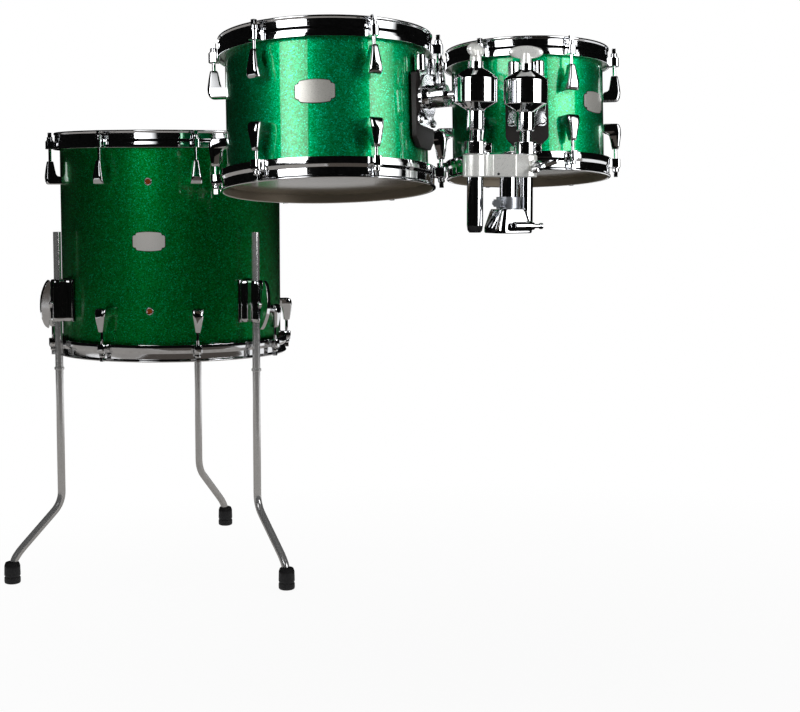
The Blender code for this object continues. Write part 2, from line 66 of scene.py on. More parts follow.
# %% [markdown]
# ## Placing things round a drum
# Most fittings sit on a shell and face out from it, and the rack toms lean. They could be turned by hand
# in the viewport, but then their numbers are lost. Here a place is a product of matrices, in the order in
# which a maker would say it: this drum, this far round, this far out.


# %% Placing
def turn(angle):
    """Turns the -Y direction to this angle."""
    return Matrix.Rotation(math.radians(angle), 4, "Z")


def shift(x=0.0, y=0.0, z=0.0):
    return Matrix.Translation((x, y, z))


def outward():
    """Lays local Z along -Y, the way out of a shell at angle 0."""
    return Matrix.Rotation(math.radians(90), 4, "X")


def drum_frame(kind):
    """From a drum's own frame, with its middle at zero and its axis up, to the set's frame."""
    axis = Vector(DRUMS[kind]["axis"]).normalized()
    lean = Vector((0, 0, 1)).rotation_difference(axis).to_matrix().to_4x4()
    return Matrix.Translation(DRUMS[kind]["centre"]) @ lean


for kind, size in DRUMS.items():
    lean = Vector(size["axis"]).angle(Vector((0, 0, 1)))
    print(kind, "leans", round(math.degrees(lean), 1), "degrees")

# %% [markdown]
# ## Points and faces
# A shape is first a plain list of points and a list of faces. That could wait in Blender objects instead,
# but plain lists can be moved and joined at no cost before they become one object. Every skin here comes
# from one idea: rings of points with equal counts, joined ring to ring.


# %% Skins
def moved(solid, matrix):
    points, faces = solid
    return [tuple(matrix @ Vector(p)) for p in points], faces


def together(*solids):
    points, faces = [], []
    for more_points, more_faces in solids:
        start = len(points)
        points += more_points
        faces += [tuple(start + i for i in face) for face in more_faces]
    return points, faces


def loft(sections, closed=False):
    """Joins rings of equal counts; the ends are capped unless the last ring meets the first."""
    count = len(sections[0])
    points = [tuple(p) for section in sections for p in section]
    faces = []
    for a in range(len(sections) if closed else len(sections) - 1):
        low, high = a * count, (a + 1) % len(sections) * count
        for i in range(count):
            j = (i + 1) % count
            faces.append((low + i, low + j, high + j, high + i))
    if not closed:
        faces.append(tuple(range(count))[::-1])
        faces.append(tuple(range(len(points) - count, len(points))))
    return points, faces


triangle = [(0, 0), (1, 0), (0, 1)]
wedge = loft([[(x, y, z) for x, y in triangle] for z in (0, 1)])
print("a lofted wedge has", len(wedge[0]), "points and", len(wedge[1]), "faces")

# %% [markdown]
# ## Soft corners
# Nothing that is cast or turned has a knife edge, and the small curve at each corner is what catches
# light. A bevel can do that to a whole mesh. For an outline it is better done on the line itself, which
# keeps the count of points known and the curve exactly where it is wanted.


# %% Outlines
def eased(points, radius, closed=True, steps=3):
    """The same line with each corner rounded off."""
    result = []
    count = len(points)
    for i, p in enumerate(points):
        if not closed and i in (0, count - 1):
            result.append(tuple(p))
            continue
        p = Vector(p)
        before, after = Vector(points[i - 1]), Vector(points[(i + 1) % count])
        back = min(radius, (before - p).length * 0.45)
        ahead = min(radius, (after - p).length * 0.45)
        start = p + (before - p).normalized() * back
        end = p + (after - p).normalized() * ahead
        for k in range(steps + 1):
            t = k / steps
            result.append(tuple(start * (1 - t) ** 2 + p * 2 * t * (1 - t) + end * t * t))
    return result


def mirrored(half):
    """A right half and its mirror image; a point on the axis is kept once."""
    return half + [(-x, y) for x, y in reversed(half) if x]


def nosed(root, tip, radius, steps):
    """Square at its two root points and rounded at its tip."""
    return root + eased([root[1], *tip, root[0]], radius, False, steps)[1:-1]


def oval(half_x, half_y, segments=40):
    angles = [2 * math.pi * k / segments for k in range(segments)]
    return [(half_x * math.cos(a), half_y * math.sin(a)) for a in angles]


print("a square with eased corners has", len(eased([(0, 0), (1, 0), (1, 1), (0, 1)], 0.1)), "points")

# %% [markdown]
# ## Turned, pushed and bent shapes
# Most drum hardware is turned on a lathe, pushed through a die or bent from bar. Blender can spin a curve
# or sweep one along another. The same is done here on plain points, so that a post, a washer and a rubber
# foot all come from one line of radii and heights.


# %% Lathe, die and bending jig
def lathe(profile, segments=48, closed=False):
    """Turns (radius, height) points about Z."""
    angles = [2 * math.pi * k / segments for k in range(segments)]
    rings = [[(r * math.sin(a), -r * math.cos(a), z) for a in angles] for r, z in profile]
    return loft(rings, closed)


def spun(line, radius, steps, segments):
    """A turned bar whose corners are eased by radius; its line runs from one end to the other."""
    return lathe(eased(line, radius, False, steps), segments)


def prism(outline, low, high):
    return loft([[(x, y, low) for x, y in outline], [(x, y, high) for x, y in outline]])


def box(x, y, z):
    """A box from three (low, high) pairs."""
    return prism([(x[0], y[0]), (x[1], y[0]), (x[1], y[1]), (x[0], y[1])], *z)


def ball(radius, segments=40, rows=20):
    profile = []
    for k in range(1, rows):
        a = math.pi * k / rows
        profile.append((radius * math.sin(a), -radius * math.cos(a)))
    return lathe(profile, segments)


def bar(path, radius, segments=28):
    """A round bar along (x, z) points."""
    rings = []
    for i, (x, z) in enumerate(path):
        before, after = path[max(i - 1, 0)], path[min(i + 1, len(path) - 1)]
        along = Vector((after[0] - before[0], 0, after[1] - before[1])).normalized()
        side = Vector((0, 1, 0)).cross(along)
        ring = []
        for k in range(segments):
            a = 2 * math.pi * k / segments
            spoke = math.sin(a) * side + Vector((0, math.cos(a), 0))
            ring.append(Vector((x, 0, z)) + radius * spoke)
        rings.append(ring)
    return loft(rings)


print("a turned ball has", len(ball(1.0)[1]), "faces")

# %% [markdown]
# ## From points to a finished piece
# A casting's edges are soft and its flats are flat. A bevel softens the edges, and weighted normals keep
# the flats from looking pillowy, which shading by smooth groups alone would not. Both are applied at
# once, so the piece ends as a plain mesh at the origin that can ride on its body.


# %% Finished pieces
def applied(obj):
    """Turns the object's modifiers into plain mesh."""
    bpy.context.view_layer.update()
    graph = bpy.context.evaluated_depsgraph_get()
    obj.data = bpy.data.meshes.new_from_object(obj.evaluated_get(graph))
    obj.modifiers.clear()


def piece(name, solid, material, bevel=0.0, matrix=None, sharp=38):
    """One object with its edges eased, its place in its mesh, and its material."""
    if matrix is not None:
        solid = moved(solid, matrix)
    mesh = bpy.data.meshes.new(name)
    mesh.from_pydata(solid[0], [], solid[1])
    work = bmesh.new()
    work.from_mesh(mesh)
    bmesh.ops.recalc_face_normals(work, faces=work.faces)
    work.to_mesh(mesh)
    work.free()
    obj = bpy.data.objects.new(name, mesh)
    bpy.context.scene.collection.objects.link(obj)
    if bevel:
        ease = obj.modifiers.new("ease", "BEVEL")
        ease.width, ease.segments = bevel, 3
        ease.limit_method, ease.angle_limit = "ANGLE", math.radians(28)
        ease.use_clamp_overlap = True
        applied(obj)
    obj.data.shade_smooth()
    obj.data.set_sharp_from_angle(angle=math.radians(sharp))
    weigh = obj.modifiers.new("weigh", "WEIGHTED_NORMAL")
    weigh.keep_sharp = True
    applied(obj)
    obj.data.materials.clear()
    obj.data.materials.append(material)
    return obj


def dress(obj, body, *nodes, slot=None):
    """The piece rides on a body and stands for these CAD nodes."""
    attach(obj, body)
    if nodes:
        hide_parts(*nodes)
    return obj


# %% [markdown]
# ## Camera
# The set was seen from a little above the floor tom's rim, from the front left, through a long lens. A
# short lens close by would frame it as well, but would swell the nearest drum, and the rims' ellipses
# would no longer match. A small shift sets the drums high in the frame without tipping the camera any
# further.

# %% Camera
EYE = (-1.218, -2.004, 0.0636)
HEADING, PITCH = -27.4, 4.966
FOCAL_MM, FILM_MM, FRAME_SHIFT = 71.36, 36, -0.0357

camera_data = bpy.data.cameras.new("camera")
camera_data.lens, camera_data.sensor_width = FOCAL_MM, FILM_MM
camera_data.shift_y = FRAME_SHIFT
camera_data.clip_start, camera_data.clip_end = 0.05, 100
camera = bpy.data.objects.new("camera", camera_data)
camera.location = EYE
camera.rotation_euler = (math.radians(90 - PITCH), 0, math.radians(HEADING))
bpy.context.scene.collection.objects.link(camera)
bpy.context.scene.camera = camera
print("seen from", EYE, "through a lens of", FOCAL_MM, "mm")

# %% [markdown]
# ## What every finish is made of
# A finish could be a photographed texture, but that would need an image and a way to wrap it. Noise and
# cells that are computed in the object's own space need neither, and they stay on the piece when it
# moves.


# %% Material building blocks
def new_material(name):
    material = bpy.data.materials.new(name)
    material.use_nodes = True
    tree = material.node_tree
    return material, tree, tree.nodes["Principled BSDF"]


def add(tree, kind, **values):
    """A shader node with its properties and socket values set."""
    node = tree.nodes.new(kind)
    for key, value in values.items():
        if key in node.inputs:
            node.inputs[key].default_value = value
        else:
            setattr(node, key, value)
    return node


def object_coordinates(tree):
    return tree.nodes.new("ShaderNodeTexCoord").outputs["Object"]


def ramp(tree, source, stops):
    """Colours along a value: stops are (position, (r, g, b))."""
    node = tree.nodes.new("ShaderNodeValToRGB")
    elements = node.color_ramp.elements
    for element, (position, colour) in zip(elements, (stops[0], stops[-1])):
        element.position = position
        element.color = (*colour, 1)
    for position, colour in stops[1:-1]:
        elements.new(position).color = (*colour, 1)
    tree.links.new(source, node.inputs["Fac"])
    return node.outputs["Color"]


def noise(tree, scale, detail):
    """A cloudy value that is fixed to the piece."""
    grain = add(tree, "ShaderNodeTexNoise", Scale=scale, Detail=detail)
    tree.links.new(object_coordinates(tree), grain.inputs["Vector"])
    return grain.outputs["Fac"]


print("finishes start from", len(bpy.data.materials), "materials of the packed frame")

# %% [markdown]
# ## A white studio
# A catalogue picture has a white backdrop on which the object keeps a soft shadow. More light would
# whiten the backdrop too, but it would bleach the drums. So only the rays that see the backdrop, the
# camera's and those mirrored in metal, are answered with white, and the light on the drums is left alone.
# The floor gives up a tenth of its white near the set, where the shadow shows.


# %% Floor finish
SHADOW_SHARE, FADE_FROM, FADE_TO = 0.10, 0.5, 1.6


def background_rays(tree):
    """1 for the rays that see the backdrop: the camera's, and those in metal and glass."""
    rays = tree.nodes.new("ShaderNodeLightPath")
    first = add(tree, "ShaderNodeMath", operation="MAXIMUM")
    second = add(tree, "ShaderNodeMath", operation="MAXIMUM")
    tree.links.new(rays.outputs["Is Camera Ray"], first.inputs[0])
    tree.links.new(rays.outputs["Is Glossy Ray"], first.inputs[1])
    tree.links.new(first.outputs[0], second.inputs[0])
    tree.links.new(rays.outputs["Is Transmission Ray"], second.inputs[1])
    return second.outputs[0]


floor_material, tree, shader = new_material("studio_floor")
shader.inputs["Roughness"].default_value = 0.8
tones = [(0.3, (0.89, 0.89, 0.89)), (0.7, (0.91, 0.91, 0.91))]
tree.links.new(ramp(tree, noise(tree, 3.0, 2.0), tones), shader.inputs["Base Color"])
reach = add(tree, "ShaderNodeVectorMath", operation="LENGTH")
tree.links.new(object_coordinates(tree), reach.inputs[0])
fade = add(tree, "ShaderNodeMapRange")
fade.inputs["From Min"].default_value = FADE_FROM
fade.inputs["From Max"].default_value = FADE_TO
fade.inputs["To Min"].default_value = 1 - SHADOW_SHARE
fade.inputs["To Max"].default_value = 1.0
tree.links.new(reach.outputs["Value"], fade.inputs["Value"])
share = add(tree, "ShaderNodeMath", operation="MULTIPLY")
tree.links.new(background_rays(tree), share.inputs[0])
tree.links.new(fade.outputs["Result"], share.inputs[1])
white = add(tree, "ShaderNodeEmission", Color=(1, 1, 1, 1), Strength=1.0)
blend = tree.nodes.new("ShaderNodeMixShader")
tree.links.new(share.outputs[0], blend.inputs["Fac"])
tree.links.new(shader.outputs[0], blend.inputs[1])
tree.links.new(white.outputs[0], blend.inputs[2])
tree.links.new(blend.outputs[0], tree.nodes["Material Output"].inputs["Surface"])
print("the floor is plain white from", FADE_TO, "m out")

# %% Floor
HALF_FLOOR, FLOOR_GAP = 9.0, 0.0005

sheet = [(-HALF_FLOOR, -HALF_FLOOR, 0), (HALF_FLOOR, -HALF_FLOOR, 0)]
sheet += [(HALF_FLOOR, HALF_FLOOR, 0), (-HALF_FLOOR, HALF_FLOOR, 0)]
under_the_feet = shift(z=FLOOR_LEVEL - FLOOR_GAP)
floor_piece = piece("floor", (sheet, [(0, 1, 2, 3)]), floor_material, matrix=under_the_feet)
print("the floor lies at", FLOOR_LEVEL)

# %% World
SKY_LIGHT = 0.55

world = bpy.data.worlds.new("studio")
world.use_nodes = True
bpy.context.scene.world = world
sky = world.node_tree
lit = sky.nodes["Background"]
lit.inputs["Color"].default_value = (1, 1, 1, 1)
lit.inputs["Strength"].default_value = SKY_LIGHT
seen = add(sky, "ShaderNodeBackground", Color=(1, 1, 1, 1), Strength=1.0)
blend = sky.nodes.new("ShaderNodeMixShader")
sky.links.new(background_rays(sky), blend.inputs["Fac"])
sky.links.new(lit.outputs[0], blend.inputs[1])
sky.links.new(seen.outputs[0], blend.inputs[2])
sky.links.new(blend.outputs[0], sky.nodes["World Output"].inputs["Surface"])
bpy.context.scene.view_settings.view_transform = "Standard"
print("the sky lights the set at", SKY_LIGHT)

# %% [markdown]
# ## Soft boxes
# A drum shell mirrors a lamp as one upright bright band, and the band's width is the lamp's width. So two
# tall strips stand in front of the set, left and right of the camera's line, one for each band, and a
# wide box overhead fills the shadows. A point lamp would give hot dots instead. The overhead box is
# hidden from mirrors, because nothing in the chrome shows it.


# %% Soft boxes
def softbox(name, place, aim, wide, tall, radiance, spread=180):
    """A sheet of light of one brightness all over; a narrow spread dims it for what stands off its aim."""
    lamp = bpy.data.lights.new(name, "AREA")
    lamp.shape, lamp.size, lamp.size_y = "RECTANGLE", wide, tall
    lamp.spread = math.radians(spread)
    lamp.energy = radiance * math.pi * wide * tall
    obj = bpy.data.objects.new(name, lamp)
    obj.location = place
    obj.rotation_euler = (Vector(aim) - Vector(place)).to_track_quat("-Z", "Y").to_euler()
    obj.visible_camera = False
    bpy.context.scene.collection.objects.link(obj)
    print(name, "faces the set from", [round(v, 2) for v in place])
    return obj


STRIP_LIGHT, STRIP_SPREAD, FILL_LIGHT = 0.90, 70, 1.0
left_place, left_aim = (-1.180, -0.375, 1.00), (-0.259, 0.015, 0.787)
right_place, right_aim = (0.468, -0.513, 0.90), (0.033, 0.387, 0.76)
softbox("left_strip", left_place, left_aim, 0.685, 1.60, STRIP_LIGHT, STRIP_SPREAD)
right_strip = softbox("right_strip", right_place, right_aim, 0.71, 1.92, STRIP_LIGHT, STRIP_SPREAD)
fill = softbox("overhead", (-0.1, 0.5, 2.0), (-0.1, 0.5, 0.0), 1.8, 1.8, FILL_LIGHT)
fill.visible_glossy = False

# %% [markdown]
# ## The dark room
# Chrome has no colour of its own and shows what stands round it. In a white studio it turns white and
# loses its shape, so it is given dark things to mirror: a round room of black cloth, and a black card
# close under the holder. A brown carpet in front of the set and a grey one under it give the lower heads,
# hoops and legs a half tone to mirror. Only mirrored rays see any of them, so the picture stays white and
# nothing is shaded.


# %% Cloths for the room
def room_cloth(name, dark, light, scale, shine):
    """A cloth or carpet whose threads differ a little in tone."""
    material, tree, shader = new_material(name)
    shader.inputs["Roughness"].default_value = 1.0
    shader.inputs["Specular IOR Level"].default_value = shine
    tones = ramp(tree, noise(tree, scale, 3.0), [(0.3, dark), (0.7, light)])
    tree.links.new(tones, shader.inputs["Base Color"])
    return material


dark_cloth = room_cloth("dark_cloth", (0.003, 0.003, 0.003), (0.007, 0.007, 0.007), 8.0, 0.0)
brown_wool = room_cloth("brown_wool", (0.10, 0.082, 0.068), (0.15, 0.125, 0.105), 40.0, 0.5)
grey_wool = room_cloth("grey_wool", (0.44, 0.41, 0.38), (0.56, 0.53, 0.50), 40.0, 0.5)
print("cloths:", dark_cloth.name, brown_wool.name, grey_wool.name)

# %% Dark room, card and carpets
ROOM_AWAY, ROOM_LOW, ROOM_HIGH = 3.2, -0.62, 2.9
ROOM_COLUMNS = 48
CARD = [(0.30, -0.14), (0.30, 0.50), (0.03, 0.50), (0.03, 0.10), (-0.14, 0.10), (-0.14, -0.14)]
CARPET = dict(x=(-2.8, 1.8), y=(-3.0, -0.7), z=(-0.602, -0.600))
MAT = dict(x=(-2.8, 1.2), y=(-0.7, 2.6), z=(-0.612, -0.610))

rings = []
for away, z in ((ROOM_AWAY, ROOM_LOW), (ROOM_AWAY, ROOM_HIGH), (0.01, ROOM_HIGH + 0.2)):
    columns = [360 / ROOM_COLUMNS * k for k in range(ROOM_COLUMNS)]
    rings.append([tuple(turn(a) @ Vector((0, -away, z))) for a in columns])
points, faces = loft(rings)
room = piece("dark_room", (points, faces[:-2]), dark_cloth, matrix=shift(-0.1, 0.4))
card = piece("dark_card", prism(CARD, -0.012, -0.010), dark_cloth)
carpet = piece("brown_carpet", box(**CARPET), brown_wool)
mat = piece("grey_mat", box(**MAT), grey_wool)
for obj in (room, card, carpet, mat):
    obj.visible_camera = False
    obj.visible_diffuse = False
    obj.visible_shadow = False
    obj.visible_transmission = False
    print(obj.name, "is seen by mirrored rays only")

# %% [markdown]
# ## Sparkle lacquer
# The shells are sprayed in a sparkle lacquer: coloured flakes lie at all angles in a clear coat, so each
# flake is light or dark by itself while the coat on top mirrors the room. Noise would give soft clouds,
# so Voronoi cells make the flakes, and each cell gets its own tilt and its own green. All three shells
# wear one lacquer, but it comes as two mixes with light and shade painted in. The rack toms hang nearer
# the lamps and get a lit mix with bluer flakes, and the floor tom gets a shaded mix with less blue.

# %% Sparkle lacquer
FLAKE_MM = 1.3


def sparkle(name, flake_green):
    """Flakes in a clear coat; flake_green is a ramp from the dullest flake to the brightest."""
    material, tree, shader = new_material(name)
    flakes = add(tree, "ShaderNodeTexVoronoi", Scale=1000 / FLAKE_MM, Randomness=1.0)
    tree.links.new(object_coordinates(tree), flakes.inputs["Vector"])
    tone = tree.nodes.new("ShaderNodeSeparateColor")
    tree.links.new(flakes.outputs["Color"], tone.inputs["Color"])
    tree.links.new(ramp(tree, tone.outputs["Red"], flake_green), shader.inputs["Base Color"])
    tilt = add(tree, "ShaderNodeBump", Strength=0.35, Distance=0.0006)
    tree.links.new(tone.outputs["Green"], tilt.inputs["Height"])
    tree.links.new(tilt.outputs["Normal"], shader.inputs["Normal"])
    shader.inputs["Metallic"].default_value = 1.0
    shader.inputs["Roughness"].default_value = 0.41
    shader.inputs["Coat Weight"].default_value = 1.0
    shader.inputs["Coat Roughness"].default_value = 0.04
    shader.inputs["Coat IOR"].default_value = 1.5
    return material


# Painted shade: the floor tom's flakes carry less blue, for the lamp light that reaches it less.
shaded_sparkle_mix = sparkle("green_sparkle_painted_shade", [
    (0.00, (0.000, 0.190, 0.017)),
    (0.50, (0.000, 0.340, 0.042)),
    (0.90, (0.000, 0.570, 0.120)),
    (1.00, (0.020, 0.920, 0.420)),
])
# Painted light: the rack toms' flakes are bluer, for the lamps that stand nearer them.
lit_sparkle_mix = sparkle("green_sparkle_painted_light", [
    (0.00, (0.000, 0.190, 0.034)),
    (0.50, (0.000, 0.330, 0.090)),
    (0.90, (0.000, 0.510, 0.200)),
    (1.00, (0.010, 0.920, 0.550)),
])
LACQUER = {"floor": shaded_sparkle_mix, "tom12": lit_sparkle_mix, "tom10": lit_sparkle_mix}
print("flakes of", FLAKE_MM, "mm in", shaded_sparkle_mix.name, "and", lit_sparkle_mix.name)

# %% [markdown]
# ## Metals
# Hoops, lugs and tubes are chrome plated, and the clamp block is a satin casting. The legs are chrome too,
# but less metallic, so that a diffuse grey, a painted reflection of paler surroundings, keeps them light.
# One metal with one roughness looks like plastic film, so roughness and tone wander a little, as hands and
# polishing leave them. A stretched grain gives the badges' brushed nickel, and the floor tom's badge has a
# lighter copy of it with painted light. The inner wall of a hoop is never polished, and keeps the dull
# skin of the mould.


# %% Metals
def metal(name, colour, rough, spread, scale, stretch=(1, 1, 1), bump=0.0, solid=1.0):
    """rough is the mean roughness and spread how far it wanders; solid is how metallic it is."""
    material, tree, shader = new_material(name)
    mapping = add(tree, "ShaderNodeMapping", Scale=stretch)
    tree.links.new(object_coordinates(tree), mapping.inputs["Vector"])
    grain = add(tree, "ShaderNodeTexNoise", Scale=scale, Detail=4.0)
    tree.links.new(mapping.outputs["Vector"], grain.inputs["Vector"])
    low, high = max(rough - spread, 0.01), rough + spread
    polish = ramp(tree, grain.outputs["Fac"], [(0.3, (low, low, low)), (0.7, (high, high, high))])
    tree.links.new(polish, shader.inputs["Roughness"])
    dark = tuple(c * 0.93 for c in colour)
    tone = ramp(tree, grain.outputs["Fac"], [(0.25, dark), (0.75, colour)])
    tree.links.new(tone, shader.inputs["Base Color"])
    if bump:
        relief = add(tree, "ShaderNodeBump", Strength=bump, Distance=0.0004)
        tree.links.new(grain.outputs["Fac"], relief.inputs["Height"])
        tree.links.new(relief.outputs["Normal"], shader.inputs["Normal"])
    shader.inputs["Metallic"].default_value = solid
    print(material.name, "has a roughness of", rough)
    return material


BRUSHED = (1, 1, 14)
chrome = metal("chrome", (0.80, 0.81, 0.83), 0.055, 0.02, 60)
satin = metal("satin_casting", (0.93, 0.93, 0.90), 0.31, 0.05, 900, bump=0.10, solid=0.62)
nickel = metal("brushed_nickel", (0.47, 0.46, 0.43), 0.32, 0.07, 400, BRUSHED, 0.1, 0.60)
# A lighter copy of the brushed nickel, with painted light, for the floor tom's badge.
lit_floor_nickel = metal("floor_badge_nickel_painted_light", (0.76, 0.74, 0.71), 0.34, 0.07, 400, BRUSHED, 0.1, 0.60)
# The legs' chrome, less metallic: its diffuse grey is a painted reflection that keeps the legs pale.
leg_chrome_with_painted_reflection = metal("leg_chrome_with_painted_reflection", (0.72, 0.72, 0.72), 0.15, 0.05, 250, bump=0.03, solid=0.80)
cast_chrome = metal("cast_chrome", (0.78, 0.79, 0.81), 0.11, 0.03, 25)
as_cast = metal("as_cast_inside", (0.24, 0.20, 0.15), 0.42, 0.06, 300, bump=0.1, solid=0.6)
steel = metal("dark_steel", (0.42, 0.44, 0.48), 0.30, 0.03, 60, solid=0.85)

# %% [markdown]
# ## Film, rubber, paint and wood
# The upper heads are coated and feel like fine paper. The lower ones are a smooth clear film, drawn
# opaque with the drum's inside painted into it: the brown of the wood and the shade that fills the shell.
# The feet and end caps are rubber, the mount plates are painted, and raw wood shows in the vent holes,
# darkened with painted shade for their depth. All of them are dull skins with a grain in both colour and
# height, so one recipe serves, and only its numbers change.


# %% Film, rubber, paint and wood
def matte(name, dark, light, rough, scale, bump, shine=0.5):
    """A dull surface with a fine grain in its colour and its height."""
    material, tree, shader = new_material(name)
    grain = noise(tree, scale, 5.0)
    tree.links.new(ramp(tree, grain, [(0.3, dark), (0.7, light)]), shader.inputs["Base Color"])
    relief = add(tree, "ShaderNodeBump", Strength=bump, Distance=0.0005)
    tree.links.new(grain, relief.inputs["Height"])
    tree.links.new(relief.outputs["Normal"], shader.inputs["Normal"])
    shader.inputs["Roughness"].default_value = rough
    shader.inputs["Specular IOR Level"].default_value = shine
    print(material.name, "has a grain of", round(1000 / scale, 1), "mm")
    return material


coated_film = matte("coated_film", (0.76, 0.75, 0.71), (0.83, 0.82, 0.79), 0.55, 700, 0.25)
# The lower heads' film is opaque and painted with the drum's inside: the wood's brown and painted shade.
film_over_shaded_inside = matte("bottom_film_painted_dark_inside", (0.065, 0.052, 0.036), (0.095, 0.078, 0.055), 0.14, 9, 0.02)
rubber = matte("black_rubber", (0.006, 0.006, 0.007), (0.014, 0.014, 0.015), 0.62, 500, 0.3, 0.25)
plate_paint = matte("dark_plate", (0.012, 0.010, 0.010), (0.022, 0.018, 0.018), 0.45, 900, 0.2, 0.25)
# The vents' wood with painted shade: darker than raw wood, for the depth of the hole.
vent_wood_and_shade = matte("vent_hole_wood_painted_shade", (0.13, 0.022, 0.003), (0.26, 0.055, 0.010), 0.8, 300, 0.2, 0.1)

# %% [markdown]
# ## Shells and heads
# A shell is a plain tube with a bearing edge. The head is a film pulled over that edge and crimped in a
# ring below it. A cylinder with a Solidify modifier would do for the tube, but not for the edge, so both
# are turned from a few profile points, with many segments, because a gloss coat shows every facet.

# %% Shells and heads
ROUND = 144
WALL, EDGE = 0.006, 0.003


def turned(kind, suffix, profile, material, closed, side=1):
    """A ring that goes all round a drum; heights count from the bearing edge on that side."""
    size = DRUMS[kind]
    r, edge = size["r"], size["depth"] / 2
    rows = [(r + out, side * (edge + up)) for out, up in profile]
    solid = lathe(rows, ROUND, closed)
    node = f"{kind}_{suffix}"
    obj = piece(node + "_piece", solid, material, matrix=drum_frame(kind))
    print(obj.name, "has", len(obj.data.polygons), "faces")
    return dress(obj, BODY[kind], node)


def shell(kind):
    deep = DRUMS[kind]["depth"]
    rows = [(0, -EDGE), (-EDGE, 0), (-WALL, -EDGE)]
    rows += [(-WALL, -deep + EDGE), (-EDGE, -deep), (0, -deep + EDGE)]
    return turned(kind, "shell", rows, LACQUER[kind], True)


def head(kind, suffix, material, side):
    collar = [(0.0006, -0.0004), (0.0006, -0.0110), (0.0068, -0.0110), (0.0068, -0.0052)]
    shoulder = [(0.0040, -0.0046), (0.0018, -0.0042), (0.0015, 0.0010), (-0.010, 0.0009)]
    turned(kind, suffix, collar + eased(shoulder, 0.002, False), material, False, side)


for kind in DRUMS:
    shell(kind)
    head(kind, "top_head", coated_film, 1)
    head(kind, "bottom_head", film_over_shaded_inside, -1)

# %% [markdown]
# ## Hoops
# The hoops are die cast in two tiers: a tall lower tier that carries the ears, a step in, and a thin wall
# with a rolled rim that the sticks meet. They could be bevelled tubes stacked on each other, but the
# light that runs round a hoop follows its one section, so the whole section is drawn and turned at once.

# %% Hoops
HOOP_LINE = [
    (0.0118, -0.0175),
    (0.0120, -0.0120),
    (0.0117, -0.0070),
    (0.0092, -0.0024),
    (0.0088, 0.0085),
    (0.0107, 0.0103),
    (0.0110, 0.0122),
    (0.0098, 0.0133),
    (0.0068, 0.0133),
    (0.0058, 0.0118),
    (0.0058, -0.0030),
    (0.0090, -0.0042),
    (0.0092, -0.0175),
]
CAST_WALL = 0.0064


def hoop(kind, suffix, side):
    """A hoop, polished outside and left as it was cast on the wall round the head."""
    obj = turned(kind, suffix, eased(HOOP_LINE, 0.0007, True, 2), chrome, True, side)
    obj.data.materials.append(as_cast)
    inside, wall = drum_frame(kind).inverted(), DRUMS[kind]["r"] + CAST_WALL
    for face in obj.data.polygons:
        centre = inside @ face.center
        face.material_index = int(math.hypot(centre.x, centre.y) < wall)


for kind in DRUMS:
    hoop(kind, "top_hoop", 1)
    hoop(kind, "bottom_hoop", -1)

# %% [markdown]
# ## A flag before one lamp
# The floor tom shows one bright band and not two: the right strip isn't seen in its shell. On a real set
# a black flag on a stand keeps a lamp off one thing. Light linking does that without a stand and without
# a shadow: the lamp lights everything but the pieces in one collection.


# %% Flag
def spare(lamp, *names):
    """Keeps a lamp off these pieces, as a flag on a stand would."""
    spared = bpy.data.collections.new(lamp.name + "_flagged")
    lamp.light_linking.receiver_collection = spared
    for name in names:
        spared.objects.link(bpy.data.objects[name])
    for item in spared.collection_objects:
        item.light_linking.link_state = "EXCLUDE"
    print(lamp.name, "spares", names)


spare(right_strip, "floor_shell_piece")

# %% [markdown]
# ## Lugs and tension rods
# Each tension rod goes down through an ear of the hoop into a hook-shaped casting on the shell. The set
# stands on one such unit, repeated round each drum's two ends. Forty copies by hand would drift apart. A
# Geometry Nodes tree turns the unit round the drum instead, so its count and first angle are plain
# inputs, and a change to the unit reaches all forty.


# %% A tree that repeats round an axis
def ring_tree():
    tree = bpy.data.node_groups.new("Round the drum", "GeometryNodeTree")
    face = tree.interface
    face.new_socket("Unit", in_out="INPUT", socket_type="NodeSocketGeometry")
    face.new_socket("Count", in_out="INPUT", socket_type="NodeSocketInt")
    face.new_socket("First angle", in_out="INPUT", socket_type="NodeSocketFloat")
    face.new_socket("Finish", in_out="INPUT", socket_type="NodeSocketMaterial")
    face.new_socket("Ring", in_out="OUTPUT", socket_type="NodeSocketGeometry")
    given, result = tree.nodes.new("NodeGroupInput"), tree.nodes.new("NodeGroupOutput")
    points = tree.nodes.new("GeometryNodePoints")
    index = tree.nodes.new("GeometryNodeInputIndex")
    step = add(tree, "ShaderNodeMath", operation="DIVIDE")
    step.inputs[0].default_value = 2 * math.pi
    angle = add(tree, "ShaderNodeMath", operation="MULTIPLY_ADD")
    spin = tree.nodes.new("ShaderNodeCombineXYZ")
    place = tree.nodes.new("GeometryNodeInstanceOnPoints")
    real = tree.nodes.new("GeometryNodeRealizeInstances")
    paint = tree.nodes.new("GeometryNodeSetMaterial")
    links = (
        (given.outputs["Count"], points.inputs["Count"]),
        (given.outputs["Count"], step.inputs[1]),
        (index.outputs[0], angle.inputs[0]),
        (step.outputs[0], angle.inputs[1]),
        (given.outputs["First angle"], angle.inputs[2]),
        (angle.outputs[0], spin.inputs["Z"]),
        (points.outputs[0], place.inputs["Points"]),
        (given.outputs["Unit"], place.inputs["Instance"]),
        (spin.outputs[0], place.inputs["Rotation"]),
        (place.outputs[0], real.inputs[0]),
        (real.outputs[0], paint.inputs["Geometry"]),
        (given.outputs["Finish"], paint.inputs["Material"]),
        (paint.outputs[0], result.inputs["Ring"]),
    )
    for start, end in links:
        tree.links.new(start, end)
    return tree


ROUND_THE_DRUM = ring_tree()
print(ROUND_THE_DRUM.name, "has", len(ROUND_THE_DRUM.nodes), "nodes")


